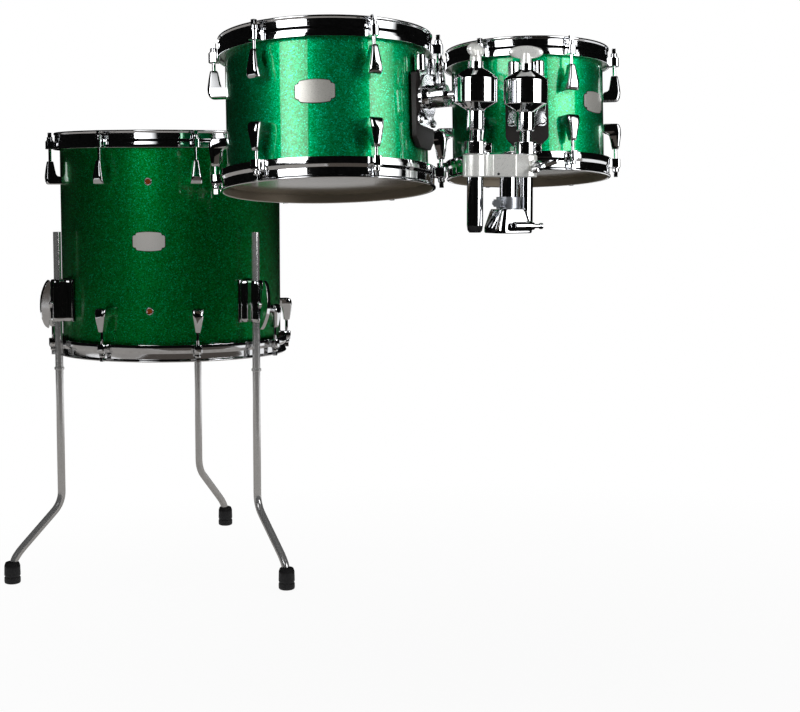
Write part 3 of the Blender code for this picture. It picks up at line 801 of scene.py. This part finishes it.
# %% Repeating a unit
def repeat(unit, count, first, material):
    """Turns a unit piece round Z and keeps the result as its plain mesh."""
    modifier = unit.modifiers.new("ring", "NODES")
    modifier.node_group = ROUND_THE_DRUM
    wanted = {"Count": count, "First angle": math.radians(first), "Finish": material}
    for socket in ROUND_THE_DRUM.interface.items_tree:
        if socket.in_out == "INPUT" and socket.name in wanted:
            modifier[socket.identifier] = wanted[socket.name]
    applied(unit)
    print(unit.name, "repeated", count, "times from", first, "degrees")


inputs = [face.name for face in ROUND_THE_DRUM.interface.items_tree if face.in_out == "INPUT"]
print("the tree is given", inputs)

# %% [markdown]
# ## The lug
# The lug is a chunky foot on the shell that narrows to a finger beside the rod. Sculpting or bevelling a
# block would lose its sizes. So each height has a width, a back and a front, and the skin is joined
# through them: the back leaves the shell where the finger begins.

# %% Lug
LUG_TALL = 0.042
LUG_ROWS = [
    (0.0000, 0.0195, 0.0002, 0.0235),
    (0.0015, 0.0212, 0.0002, 0.0262),
    (0.0060, 0.0214, 0.0002, 0.0282),
    (0.0120, 0.0200, 0.0002, 0.0290),
    (0.0142, 0.0196, 0.0020, 0.0291),
    (0.0158, 0.0190, 0.0075, 0.0290),
    (0.0185, 0.0180, 0.0098, 0.0288),
    (0.0280, 0.0146, 0.0118, 0.0276),
    (0.0370, 0.0112, 0.0132, 0.0261),
    (0.0410, 0.0096, 0.0140, 0.0252),
    (LUG_TALL, 0.0086, 0.0145, 0.0246),
]


def lug_solid(r):
    """Foot at z 0 against the shell, finger up to the rod."""
    sections = []
    for z, wide, back, front in LUG_ROWS:
        half = wide / 2
        corner = min(0.0060, wide * 0.34)
        line = nosed([(-half, -back), (half, -back)], [(half, -front), (-half, -front)], corner, 5)
        sections.append([(x, y - r, z) for x, y in line])
    return loft(sections)


print("a lug is", LUG_TALL, "m tall and", max(row[3] for row in LUG_ROWS), "m deep")

# %% [markdown]
# ## Ear and rod
# The ear is a flat tongue of the hoop with a round nose. The rod has a threaded stem, a washer, a collar
# and a square head for the drum key. Each is a lathe line or a pushed outline, and the stem is left
# smooth, because its thread is thinner than a picture can show.

# %% Ear and rod
ROD_OUT = 0.0195
KEY_HALF = 0.0032


def ear_solid(r):
    root = [(-0.0100, -0.0100), (0.0100, -0.0100)]
    tip = [(0.0076, -0.0160), (0.0074, -0.0272), (-0.0074, -0.0272), (-0.0076, -0.0160)]
    return prism([(x, y - r) for x, y in nosed(root, tip, 0.0065, 6)], -0.0172, -0.0030)


def rod_solid(r, foot):
    stem = lathe([(0.0028, foot), (0.0028, -0.010)], 20)
    washer = [(0.0020, -0.0031), (0.0066, -0.0031), (0.0066, -0.0010), (0.0020, -0.0010)]
    washer = spun(washer, 0.0004, 2, 28)
    collar = spun([(0.0052, -0.0012), (0.0052, 0.0040), (0.0042, 0.0052)], 0.0005, 2, 28)
    square = box((-KEY_HALF, KEY_HALF), (-KEY_HALF, KEY_HALF), (0.005, 0.0128))
    return moved(together(stem, washer, collar, square), shift(y=-r - ROD_OUT))


print("rods stand", ROD_OUT, "m off the shell, with a key square of", 2 * KEY_HALF, "m")

# %% All the lugs and rods
LUGS = {"floor": (-8.0, 8, 0.109), "tom12": (-1.1, 6, 0.031), "tom10": (-2.8, 6, 0.0194)}
STEM_IN_LUG = 0.006


def tension_ring(kind, suffix, side):
    """LUGS gives the first angle, the count, and the height of a lug's foot over the drum's middle."""
    size = DRUMS[kind]
    r, edge = size["r"], size["depth"] / 2
    first, count, inner_end = LUGS[kind]
    foot = inner_end - edge
    rod = rod_solid(r, foot + LUG_TALL - STEM_IN_LUG)
    solid = together(moved(lug_solid(r), shift(z=foot)), ear_solid(r), rod)
    node = f"{kind}_{suffix}"
    unit = piece(node + "_tension_ring", solid, chrome, bevel=0.0006)
    repeat(unit, count, first, chrome)
    unit.data.transform(drum_frame(kind) @ Matrix.Scale(side, 4, (0, 0, 1)) @ shift(z=edge))
    if side < 0:
        unit.data.flip_normals()
    dress(unit, BODY[kind], slot=node)


for kind in DRUMS:
    tension_ring(kind, "top_hoop", 1)
    tension_ring(kind, "bottom_hoop", -1)

# %% [markdown]
# ## Badges
# A badge is a thin plain plate bent to the shell, with a raised field inside its dark rim and a stud near
# each corner. A flat plate would stand off the shell at its ends. Here its outline is a height for each
# share of its width, and every column of points is set out along the shell's own radius.

# %% Badges
BADGE_ANGLE = {"floor": -30.5, "tom12": -31.1, "tom10": 27.2}
BADGE_UP = 0.009
RIM_HALF, FIELD_HALF = 0.0295, 0.0284


def curved_plate(r, half_wide, line, thick, lift, columns=48):
    """A plate bent round a shell. line gives its half height at a share of its half width."""
    sections = []
    for k in range(columns + 1):
        share = -1 + 2 * k / columns
        tall, angle = line(abs(share)), share * half_wide / r
        back, front = [
            [(out * math.sin(angle), -out * math.cos(angle), z) for z in (-tall, tall)]
            for out in (r + lift, r + lift + thick)
        ]
        sections.append([back[0], front[0], front[1], back[1]])
    return loft(sections)


def badge_edge(share):
    """Half height: a barrel with a notch near each end."""
    if share < 0.74:
        return 0.0176 - 0.0034 * share * share
    if share < 0.80:
        return 0.0157 - (share - 0.74) / 0.06 * 0.0037
    return 0.0120 * math.sqrt(max(1 - ((share - 0.80) / 0.215) ** 2 * 0.55, 0.02))


def badge_field(share):
    return badge_edge(min(share * 0.97, 1.0)) - 0.0008


for kind in DRUMS:
    r, badge = DRUMS[kind]["r"], kind + "_badge"
    place = drum_frame(kind) @ turn(BADGE_ANGLE[kind]) @ shift(z=BADGE_UP)
    rim = curved_plate(r, RIM_HALF, badge_edge, 0.0010, 0.0003)
    dress(piece(badge + "_rim", rim, plate_paint, 0.0003, place), BODY[kind], badge)
    field = curved_plate(r, FIELD_HALF, badge_field, 0.0008, 0.0011)
    # The floor tom's badge gets the lighter copy of the nickel: painted light.
    tone = lit_floor_nickel if kind == "floor" else nickel
    dress(piece(badge + "_field", field, tone, 0.0004, place), BODY[kind], slot=badge)
    studs = []
    for x in (-0.0238, 0.0238):
        for z in (-0.0118, 0.0118):
            stud = moved(lathe([(0.0011, 0), (0.0011, 0.0022)], 20), shift(y=-r, z=z) @ outward())
            studs.append(moved(stud, turn(math.degrees(x / r))))
    studs = piece(badge + "_studs", together(*studs), rubber, matrix=place)
    dress(studs, BODY[kind], slot=badge)
    print(badge, "at", BADGE_ANGLE[kind], "degrees")

# %% [markdown]
# ## Vents
# Air leaves the floor tom through two holes, one over the badge and one under it. A hole could be cut
# with a Boolean, which would break up the gloss of the shell round it. What is seen is a plated eyelet
# with a rolled lip, and raw wood and darkness inside, so a turned ring and a small disc stand for the hole:
# the disc has the wood's brown, darkened with painted shade for the depth of the hole.

# %% Vents
VENT_UP = 0.114
EYELET = [
    (0.0052, -0.0060),
    (0.0052, 0.0004),
    (0.0070, 0.0004),
    (0.0069, 0.0014),
    (0.0060, 0.0022),
    (0.0047, 0.0014),
    (0.0044, -0.0060),
]
eyelet = lathe(eased(EYELET, 0.0005, True, 3), 40, True)
for k, height in ((1, VENT_UP), (2, -VENT_UP)):
    at_shell = shift(y=-DRUMS["floor"]["r"], z=height) @ outward()
    place = drum_frame("floor") @ turn(BADGE_ANGLE["floor"]) @ at_shell
    ring = piece(f"vent_eyelet_{k}", eyelet, chrome, matrix=place)
    dress(ring, "floor_tom", f"floor_vent_{k}")
    # The disc is the hole's wood, darkened with painted shade for its depth.
    wood = lathe([(0.0046, 0.0002), (0.0046, 0.0008)], 28)
    dress(piece(f"vent_bore_{k}", wood, vent_wood_and_shade, matrix=place), "floor_tom", slot=f"floor_vent_{k}")
    print("vent", k, "at height", height)

# %% [markdown]
# ## Grips that tighten by hand
# Wing bolts are cast: a stub turned on the lathe with a flat grip through it. Each could be modelled
# alone, but they differ in outline only, wings on the holder and half moons on the legs. So one helper
# joins any outline to a stub, and its place also says which way the grip was left when it was last
# tightened.


# %% Grips
def wing_outline(span, tall):
    half = [(0.10, 0.0), (0.34, 0.28), (0.50, 0.55), (0.52, 0.80), (0.43, 1.0), (0.28, 0.93), (0.0, 0.52)]
    return eased(mirrored([(x * span, y * tall) for x, y in half]), 0.12 * span, True, 4)


def moon_outline(span, tall):
    half = [(0.15, 0.0), (0.46, 0.02), (0.50, 0.16), (0.42, 0.52), (0.26, 0.84), (0.10, 0.99)]
    return eased(mirrored([(x * span, y * tall) for x, y in half]), 0.08 * span, True, 4)


def grip(name, hub_r, hub, outline, thick, place, body, node):
    """hub is the stub's height, and thick the thickness of the flat grip."""
    core = [(hub_r, 0), (hub_r, hub * 0.45), (hub_r * 0.8, hub * 0.7)]
    core += [(hub_r * 0.72, hub), (hub_r * 0.3, hub * 1.1)]
    core = spun(core, 0.001, 3, 32)
    flat = moved(prism(outline, -thick / 2, thick / 2), shift(z=hub * 0.55) @ outward())
    obj = piece(name, together(core, flat), chrome, bevel=min(0.0012, thick * 0.3), matrix=place)
    print(name, "rides on", body)
    return dress(obj, body, node)


print("wings have", len(wing_outline(1, 1)), "points and half moons", len(moon_outline(1, 1)))

# %% [markdown]
# ## Floor tom legs
# A leg is one bar, bent out near the floor and ending upright in a rubber foot. A curve with a round
# bevel would make it as well. The bar helper keeps it a closed skin with known points from the start. The
# leg slides through a bracket on the shell, where a half-moon grip locks it, and a stop ring keeps its
# height.

# %% Leg sizes
LEGS = {"a": (-84.7, -78.5), "b": (22.0, 8.2), "c": (148.0, 127.1)}
LEG_OUT, LEG_R, LEG_REACH = 0.0221, 0.0070, 0.100
LEG_BENDS = [(0.0, 0.630), (0.0, 0.135), (0.092, 0.050), (LEG_REACH, 0.030), (LEG_REACH, 0.0065)]
LEG_LINE = eased(LEG_BENDS, 0.022, False, 8)
FOOT_LINE = [
    (0.0110, 0.0),
    (0.0138, 0.0012),
    (0.0145, 0.0040),
    (0.0145, 0.0110),
    (0.0134, 0.0125),
    (0.0134, 0.0140),
    (0.0145, 0.0155),
    (0.0140, 0.0330),
    (0.0120, 0.0385),
    (0.0075, 0.0400),
]
for tag, (angle, foot_angle) in LEGS.items():
    print("leg", tag, "stands at", angle, "degrees and its foot points to", foot_angle)

# %% Legs and feet
for tag, (angle, foot_angle) in LEGS.items():
    axis = drum_frame("floor") @ turn(angle) @ Vector((0, -DRUMS["floor"]["r"] - LEG_OUT, 0))
    ground = shift(axis.x, axis.y, FLOOR_LEVEL)
    heading = ground @ turn(foot_angle - 90)
    stop = spun([(0.0055, 0.379), (0.0088, 0.380), (0.0088, 0.3845), (0.0055, 0.3855)], 0.0006, 2, 32)
    solid = together(moved(bar(LEG_LINE, LEG_R), heading), moved(stop, ground))
    leg = piece(f"leg_bar_{tag}", solid, leg_chrome_with_painted_reflection, bevel=0.0008)
    dress(leg, f"leg_{tag}", f"floor_leg_{tag}")
    under = heading @ shift(x=LEG_REACH)
    foot = piece(f"rubber_foot_{tag}", spun(FOOT_LINE, 0.001, 2, 40), rubber, matrix=under)
    dress(foot, f"leg_{tag}", f"floor_foot_{tag}")
    print(leg.name, "and", foot.name, "made")

# %% Leg brackets and their grips
LEG_BRACKET_Z, LEG_BOLT_Z, LEG_BOLT_OUT = -0.100, -0.106, 0.0348
MOON_LEFT_AT = 84


def bracket_solid(r):
    """Casting between the shell and a leg: wide on the shell, narrow where the grip seats."""
    half = [(0.0200, 0.0012), (0.0185, 0.0070), (0.0135, 0.0130), (0.0125, 0.0260), (0.0080, 0.0345)]
    outline = eased(mirrored(half), 0.0035, True, 3)
    sections = []
    for z, share in ((-0.0380, 0.84), (-0.0372, 0.90), (-0.0350, 0.96), (-0.0310, 1.0)):
        depth = 1 - (1 - share) * 0.5
        ring = [(x * share, -r - 0.0012 - (y - 0.0012) * depth) for x, y in outline]
        sections.append([(x, y, z) for x, y in ring])
        sections.insert(0, [(x, y, -z) for x, y in ring])
    sections.sort(key=lambda ring: ring[0][2])
    lip = [(-0.0225, 0.0004), (0.0225, 0.0004), (0.0215, 0.0024), (-0.0215, 0.0024)]
    plate = [[(x, -r - y, z) for x, y in lip] for z in (-0.0385, 0.0385)]
    return together(loft(sections), loft(plate))


for tag, (angle, foot_angle) in LEGS.items():
    r = DRUMS["floor"]["r"]
    side = drum_frame("floor") @ turn(angle)
    place = side @ shift(z=LEG_BRACKET_Z)
    bracket = piece(f"leg_bracket_{tag}", bracket_solid(r), chrome, bevel=0.0012, matrix=place)
    dress(bracket, "floor_tom", f"floor_leg_bracket_{tag}")
    place = side @ shift(y=-r - LEG_BOLT_OUT, z=LEG_BOLT_Z) @ outward() @ turn(MOON_LEFT_AT)
    moon = moon_outline(0.090, 0.0172)
    grip(f"leg_grip_{tag}", 0.0070, 0.0065, moon, 0.0080, place, f"leg_bolt_{tag}", f"floor_leg_bolt_{tag}")

# %% [markdown]
# ## The tom holder's post
# One post stands in the base casting, which tapers upwards and is clamped by a bolt from its side. A box
# scaled at its top would look much the same in front and wrong at its corners, so the base is joined
# through rounded sections. The collar on the post remembers the height: it is a split ring with a key
# screw.

# %% Base and its bolt
BASE_BOLT = (0.0193, -0.0325, 0.0105)
BASE_ROWS = (
    (0.0000, 0.0285, 0.0255),
    (0.0015, 0.0295, 0.0265),
    (0.0080, 0.0295, 0.0265),
    (0.0310, 0.0222, 0.0215),
    (0.0350, 0.0205, 0.0200),
)
along_x = Matrix.Rotation(math.radians(90), 4, "Y")
sections = []
for z, wide, deep in BASE_ROWS:
    line = eased([(wide, deep), (-wide, deep), (-wide, -deep), (wide, -deep)], wide * 0.42, True, 6)
    sections.append([(x, y, z) for x, y in line])
boss = spun([(0.0040, -0.0100), (0.0072, -0.0100), (0.0072, 0.0190)], 0.0015, 3, 32)
boss = moved(boss, shift(y=BASE_BOLT[1], z=BASE_BOLT[2]) @ along_x)
web = box((-0.0080, 0.0150), (BASE_BOLT[1], -0.0200), (0.0055, 0.0155))
base = piece("base_casting", together(loft(sections), web, boss), chrome, bevel=0.0008)
dress(base, "base", "holder_base")
bolt = [(0.0055, 0.0), (0.0055, 0.0045), (0.0030, 0.0050), (0.0030, 0.0150)]
bolt = spun(bolt + [(0.0045, 0.0155), (0.0045, 0.019)], 0.0005, 2, 28)
bolt = piece("base_bolt_piece", bolt, chrome, matrix=shift(*BASE_BOLT) @ along_x)
dress(bolt, "base_bolt", "base_bolt")
print(base.name, "has", len(base.data.polygons), "faces and", bolt.name, len(bolt.data.polygons))

# %% Post and collar
POST_R, POST_TOP = 0.0127, 0.1160
COLLAR_FACES = 20

line = [(POST_R - 0.001, 0.0006), (POST_R, 0.0016), (POST_R, POST_TOP - 0.001), (POST_R - 0.001, POST_TOP)]
dress(piece("post_tube", spun(line, 0.0004, 2, 56), chrome), "post", "holder_post")
ring = spun([(0.0135, 0.0354), (0.0175, 0.0354), (0.0175, 0.0530), (0.0135, 0.0530)], 0.001, 3, 56)
boss = moved(box((-0.0260, -0.0140), (-0.0065, 0.0065), (0.0385, 0.0495)), turn(COLLAR_FACES))
screw = spun([(0.0030, -0.0105), (0.0038, -0.0100), (0.0038, 0.0100), (0.0030, 0.0105)], 0.0003, 2, 24)
screw = moved(screw, turn(COLLAR_FACES) @ shift(x=-0.0215, z=0.0440) @ outward())
collar = piece("stop_collar", together(ring, boss, screw), steel, bevel=0.0006)
dress(collar, "post", "post_collar")
print("the post is", 2 * POST_R, "m across and", POST_TOP, "m tall")

# %% [markdown]
# ## The clamp block
# A faceted block rides on the post and clamps the two arms in its ears. It is one casting, with a prow in
# front and plain flats between. Joining cylinders and boxes by Booleans would leave seams where the ears
# meet the flats, so the block's whole outline is drawn from above and pushed up.

# %% Block
ARM_X, ARM_Y, EAR_R = 0.043, 0.023, 0.018
BLOCK_LOW, BLOCK_HIGH = 0.0820, 0.1150
BLOCK_BOLT = (0.0470, -0.0003, 0.0985)
BOLT_LUG = 0.0120
WINGS_LEFT_AT = 21


def block_outline():
    """Seen from above: an ear round each arm, and a prow in front of the post."""
    ear = []
    for k in range(25):
        a = math.radians(90 + 195 / 24 * k)
        ear.append((-ARM_X + EAR_R * math.cos(a), ARM_Y + EAR_R * math.sin(a)))
    valley = [ear[-1], (-0.0345, 0.0030), (-0.0318, -0.0025), (-0.0305, -0.0080)]
    prow = [(0.0, -0.0225)]
    back = [(0.0200, 0.0360), (0.0120, 0.0250), (-0.0120, 0.0250), (-0.0200, 0.0360)]
    return mirrored(ear + eased(valley, 0.003, False, 3)[1:] + prow) + back


block = prism(block_outline(), BLOCK_LOW, BLOCK_HIGH)
bolt_lug = lathe([(0.0095, 0.0), (0.0095, BOLT_LUG)], 40)
bolt_lug = moved(bolt_lug, shift(BLOCK_BOLT[0], 0.0, BLOCK_BOLT[2]) @ outward() @ shift(z=-BOLT_LUG))
block = piece("block_casting", together(block, bolt_lug), satin, bevel=0.0020)
dress(block, "block", "holder_block")
pin_place = shift(-0.0234, -0.0114, 0.0864) @ turn(-25.4) @ outward()
pin = piece("block_pin", lathe([(0.0019, 0.0), (0.0019, 0.0004)], 24), rubber, matrix=pin_place)
dress(pin, "block", slot="holder_block")
place = shift(*BLOCK_BOLT) @ outward() @ turn(WINGS_LEFT_AT)
grip("block_grip", 0.0080, 0.015, wing_outline(0.046, 0.026), 0.0065, place, "block_bolt", "block_bolt")

# %% [markdown]
# ## The arms
# Each arm is a tube that necks down to a thinner rod, with a rubber cap below. A collar with a key screw
# stops it in the block. All of it is turned, so each part is one lathe line, and the collar's boss and
# screw are joined to its ring before the edges are eased, so that they look cast in one.

# %% Arm tubes and caps
SIGN = {"left": -1, "right": 1}
ARM_FOOT, ARM_R, ROD_R = 0.0006, 0.012, 0.00875
NECK, NECK_END = 0.1150, 0.1775


def arm_place(name):
    return shift(SIGN[name] * ARM_X, ARM_Y)


for name in SIGN:
    line = [(ARM_R, ARM_FOOT + 0.0103), (ARM_R, NECK), (ROD_R, NECK + 0.0002), (ROD_R, NECK_END)]
    tube = piece(f"{name}_tube", spun(line, 0.0003, 2, 48), chrome, matrix=arm_place(name))
    dress(tube, f"{name}_arm", f"{name}_arm_rod")
    line = [(0.0082, ARM_FOOT), (0.0108, ARM_FOOT + 0.0030), (0.0119, ARM_FOOT + 0.0100)]
    cap = piece(f"{name}_end_cap", spun(line, 0.001, 3, 40), rubber, matrix=arm_place(name))
    dress(cap, f"{name}_arm", f"{name}_arm_cap")
    print(tube.name, "ends in", cap.name)

# %% Arm collars
KEY_FACES = -27

for name in SIGN:
    ring = spun([(0.0120, 0.1156), (0.0165, 0.1156), (0.0165, 0.1345), (0.0095, 0.1345)], 0.0012, 3, 48)
    boss = box((0.010, 0.0235), (-0.0065, 0.0065), (0.1180, 0.1320))
    screw = spun([(0.0042, -0.0105), (0.0052, -0.0105), (0.0052, 0.0105), (0.0042, 0.0105)], 0.001, 2, 28)
    screw = moved(screw, shift(x=0.0185, z=0.1250) @ outward())
    solid = together(ring, moved(boss, turn(KEY_FACES)), moved(screw, turn(KEY_FACES)))
    collar = piece(f"{name}_key_collar", solid, chrome, bevel=0.0008, matrix=arm_place(name))
    dress(collar, f"{name}_arm", f"{name}_arm_collar")
    print(collar.name, "has", len(collar.data.polygons), "faces")

# %% [markdown]
# ## Ball housings and wing nuts
# A housing swells from the rod to the ball's width and closes again under the nut. The nut's grip is a
# thin lens on a stem. A flattened sphere would be fat at its rim, so the lens is joined through ovals
# that shrink towards both faces. The two nuts were left facing different ways.

# %% Ball housings and wing nuts
HOUSING_LINE = [
    (0.0120, 0.1502),
    (0.01325, 0.1515),
    (0.01325, 0.1790),
    (0.0160, 0.1815),
    (0.0325, 0.1905),
    (0.0325, 0.2260),
    (0.0300, 0.2290),
    (0.0150, 0.2385),
    (0.0113, 0.2400),
    (0.0113, 0.2500),
]
LENS_ROWS = (
    (-0.0045, 0.60),
    (-0.0036, 0.84),
    (-0.0015, 0.98),
    (0.0015, 0.98),
    (0.0036, 0.84),
    (0.0045, 0.60),
)
NUT_FACES = {"left": 34, "right": -27}

for name in SIGN:
    shape = spun(HOUSING_LINE, 0.0012, 3, 64)
    housing = piece(f"{name}_ball_housing", shape, chrome, matrix=arm_place(name))
    dress(housing, f"{name}_arm", f"{name}_ball_clamp")
    stem = spun([(0.0085, 0.2503), (0.0085, 0.2560), (0.0065, 0.2650)], 0.0005, 2, 32)
    lens = []
    for depth, share in LENS_ROWS:
        lens.append([(x, y, depth) for x, y in oval(0.0265 * share, 0.0100 * share)])
    lens = moved(loft(lens), shift(z=0.2665) @ outward())
    place = arm_place(name) @ turn(NUT_FACES[name])
    nut = piece(f"{name}_wing_nut_piece", together(stem, lens), satin, sharp=60, matrix=place)
    dress(nut, f"{name}_wing_nut", f"{name}_wing_nut")
    print(housing.name, "is closed by", nut.name, "at", NUT_FACES[name], "degrees")

# %% [markdown]
# ## Where a tom meets its arm
# Each rack tom hangs on a rod that ends in the ball of its arm. The mount's angle round the tom and its
# height could be written down, but they would be wrong as soon as a drum moved. So they are worked out:
# the ball's place is read in the tom's own leaning frame, and gives the angle, the height and the reach.

# %% Mount frames
CARRIED = {"left": "tom12", "right": "tom10"}
BALL_Z = {"left": 0.2050, "right": 0.2125}


def mount_frame(name):
    """The tom's frame turned towards the ball, the ball's place, and its height and reach there."""
    kind = CARRIED[name]
    centre = Vector((SIGN[name] * ARM_X, ARM_Y, BALL_Z[name]))
    local = drum_frame(kind).inverted() @ centre
    angle = math.degrees(math.atan2(local.x, -local.y))
    return drum_frame(kind) @ turn(angle), centre, local.z, math.hypot(local.x, local.y)


MOUNTS = {name: mount_frame(name) for name in CARRIED}
for name, (place, centre, height, reach) in MOUNTS.items():
    print(CARRIED[name], "is held", round(reach, 3), "m from its axis, at height", round(height, 3))

# %% [markdown]
# ## Mount plates
# A dark plate lies on each rack tom, with a tongue between the two posts that it hangs from and its lower
# corners cut off. It could be bent to the shell as a badge is, but the real one is stiff and flat, so its
# outline is pushed straight out.

# %% Mount plates
PLATE_UP = {"left": 0.006, "right": 0.0}
PLATE_BACK, PLATE_FRONT = 0.0004, 0.0080


def plate_solid(r, height):
    half_x, half_z, cut, tongue, shoulder = 0.0345, 0.0700, 0.0140, 0.0107, 0.0400
    half = [(tongue, half_z), (tongue, shoulder), (half_x, shoulder)]
    half += [(half_x, -half_z + cut), (half_x - cut, -half_z)]
    line = eased(mirrored(half), 0.003, True, 3)
    return moved(prism(line, r + PLATE_BACK, r + PLATE_FRONT), shift(z=height) @ outward())


for name, kind in CARRIED.items():
    solid = plate_solid(DRUMS[kind]["r"], PLATE_UP[name])
    plate = piece(f"{kind}_plate_piece", solid, plate_paint, bevel=0.0014, matrix=MOUNTS[name][0])
    dress(plate, kind, f"{kind}_mount_plate")
    print(plate.name, "has", len(plate.data.polygons), "faces")

# %% [markdown]
# ## Rod brackets
# The bracket is a casting on the plate: an oval flange with a tube that takes the rod, a yoke up to two
# posts, and a foot with two screws. Its parts overlap in one mesh, as they are fused in the real one. A
# Boolean union would clean up the inside, which nobody sees, and could break the eased edges.

# %% Rod brackets
YOKE = [
    (-0.0285, 0.042),
    (-0.012, 0.010),
    (0.012, 0.010),
    (0.0285, 0.042),
    (0.0285, 0.066),
    (-0.0285, 0.066),
]
FEET = [
    (-0.0310, -0.022),
    (-0.0310, -0.038),
    (0.0310, -0.038),
    (0.0310, -0.022),
    (0.012, -0.004),
    (-0.012, -0.004),
]


def rod_bracket(r, lift):
    """Its own Z points out of the tom; lift is how far the plate's middle stands over the rod."""
    flange = prism(oval(0.0300, 0.0340, 64), r + 0.0083, r + 0.0145)
    tube = [(0.0190, r + 0.0120), (0.0170, r + 0.0190), (0.0170, r + 0.0435), (0.0080, r + 0.0435)]
    tube = spun(tube, 0.0015, 3, 48)
    yoke = prism(eased([(x, y + lift) for x, y in YOKE], 0.006, True, 4), r + 0.0086, r + 0.0115)
    foot = prism(eased([(x, y + lift) for x, y in FEET], 0.006, True, 4), r + 0.0089, r + 0.0107)
    solids = [flange, tube, yoke, foot]
    for x in (-0.0205, 0.0205):
        post = spun([(0.0060, -0.013), (0.0086, -0.012), (0.0086, 0.012), (0.0060, 0.013)], 0.002, 4, 32)
        solids.append(moved(post, shift(x, 0.054 + lift, r + 0.0102) @ outward()))
    for x in (-0.0250, 0.0250):
        cap = spun([(0.0060, r + 0.0093), (0.0060, r + 0.0130), (0.0040, r + 0.0148)], 0.0012, 3, 32)
        solids.append(moved(cap, shift(x, -0.030 + lift)))
    return together(*solids)


for name, kind in CARRIED.items():
    place, centre, height, reach = MOUNTS[name]
    solid = rod_bracket(DRUMS[kind]["r"], PLATE_UP[name] - height)
    place = place @ shift(z=height) @ outward()
    bracket = piece(f"{kind}_bracket_piece", solid, cast_chrome, bevel=0.0010, matrix=place)
    dress(bracket, kind, f"{kind}_rod_bracket")
    print(bracket.name, "has", len(bracket.data.polygons), "faces")

# %% [markdown]
# ## Thumb screws, rods and balls
# A thumb screw stands on the bracket's tube and clamps the rod, and the rod ends in a polished ball. The
# ball is nearly all hidden in its housing, and a short stub would do for one picture. It is a whole ball
# all the same, in one mesh with its rod, so that it looks right wherever the tom is tilted or slid.

# %% Thumb screws, rods and balls
BALL_R, LROD_R, LROD_GAP = 0.014, 0.0063, 0.0195
SCREW_OUT, SCREW_UP, SCREW_LEFT_AT = 0.0345, 0.0173, 20

for name, kind in CARRIED.items():
    r = DRUMS[kind]["r"]
    place, centre, height, reach = MOUNTS[name]
    at = place @ shift(y=-r - SCREW_OUT, z=height + SCREW_UP) @ turn(SCREW_LEFT_AT)
    wings = wing_outline(0.036, 0.026)
    grip(f"{kind}_thumb_screw", 0.0060, 0.019, wings, 0.0055, at, f"{kind}_screw", f"{kind}_rod_screw")
    length = reach - r - LROD_GAP
    rod = spun([(0.0050, -length), (LROD_R, -length + 0.001), (LROD_R, -0.004)], 0.0005, 2, 36)
    solid = together(ball(BALL_R), moved(rod, outward()))
    along = Matrix.Translation(centre) @ place.to_3x3().to_4x4()
    dress(piece(f"{name}_rod_and_ball", solid, chrome, matrix=along), f"{name}_l_rod", f"{name}_l_rod")
    print("the rod of", kind, "is", round(length, 3), "m long")
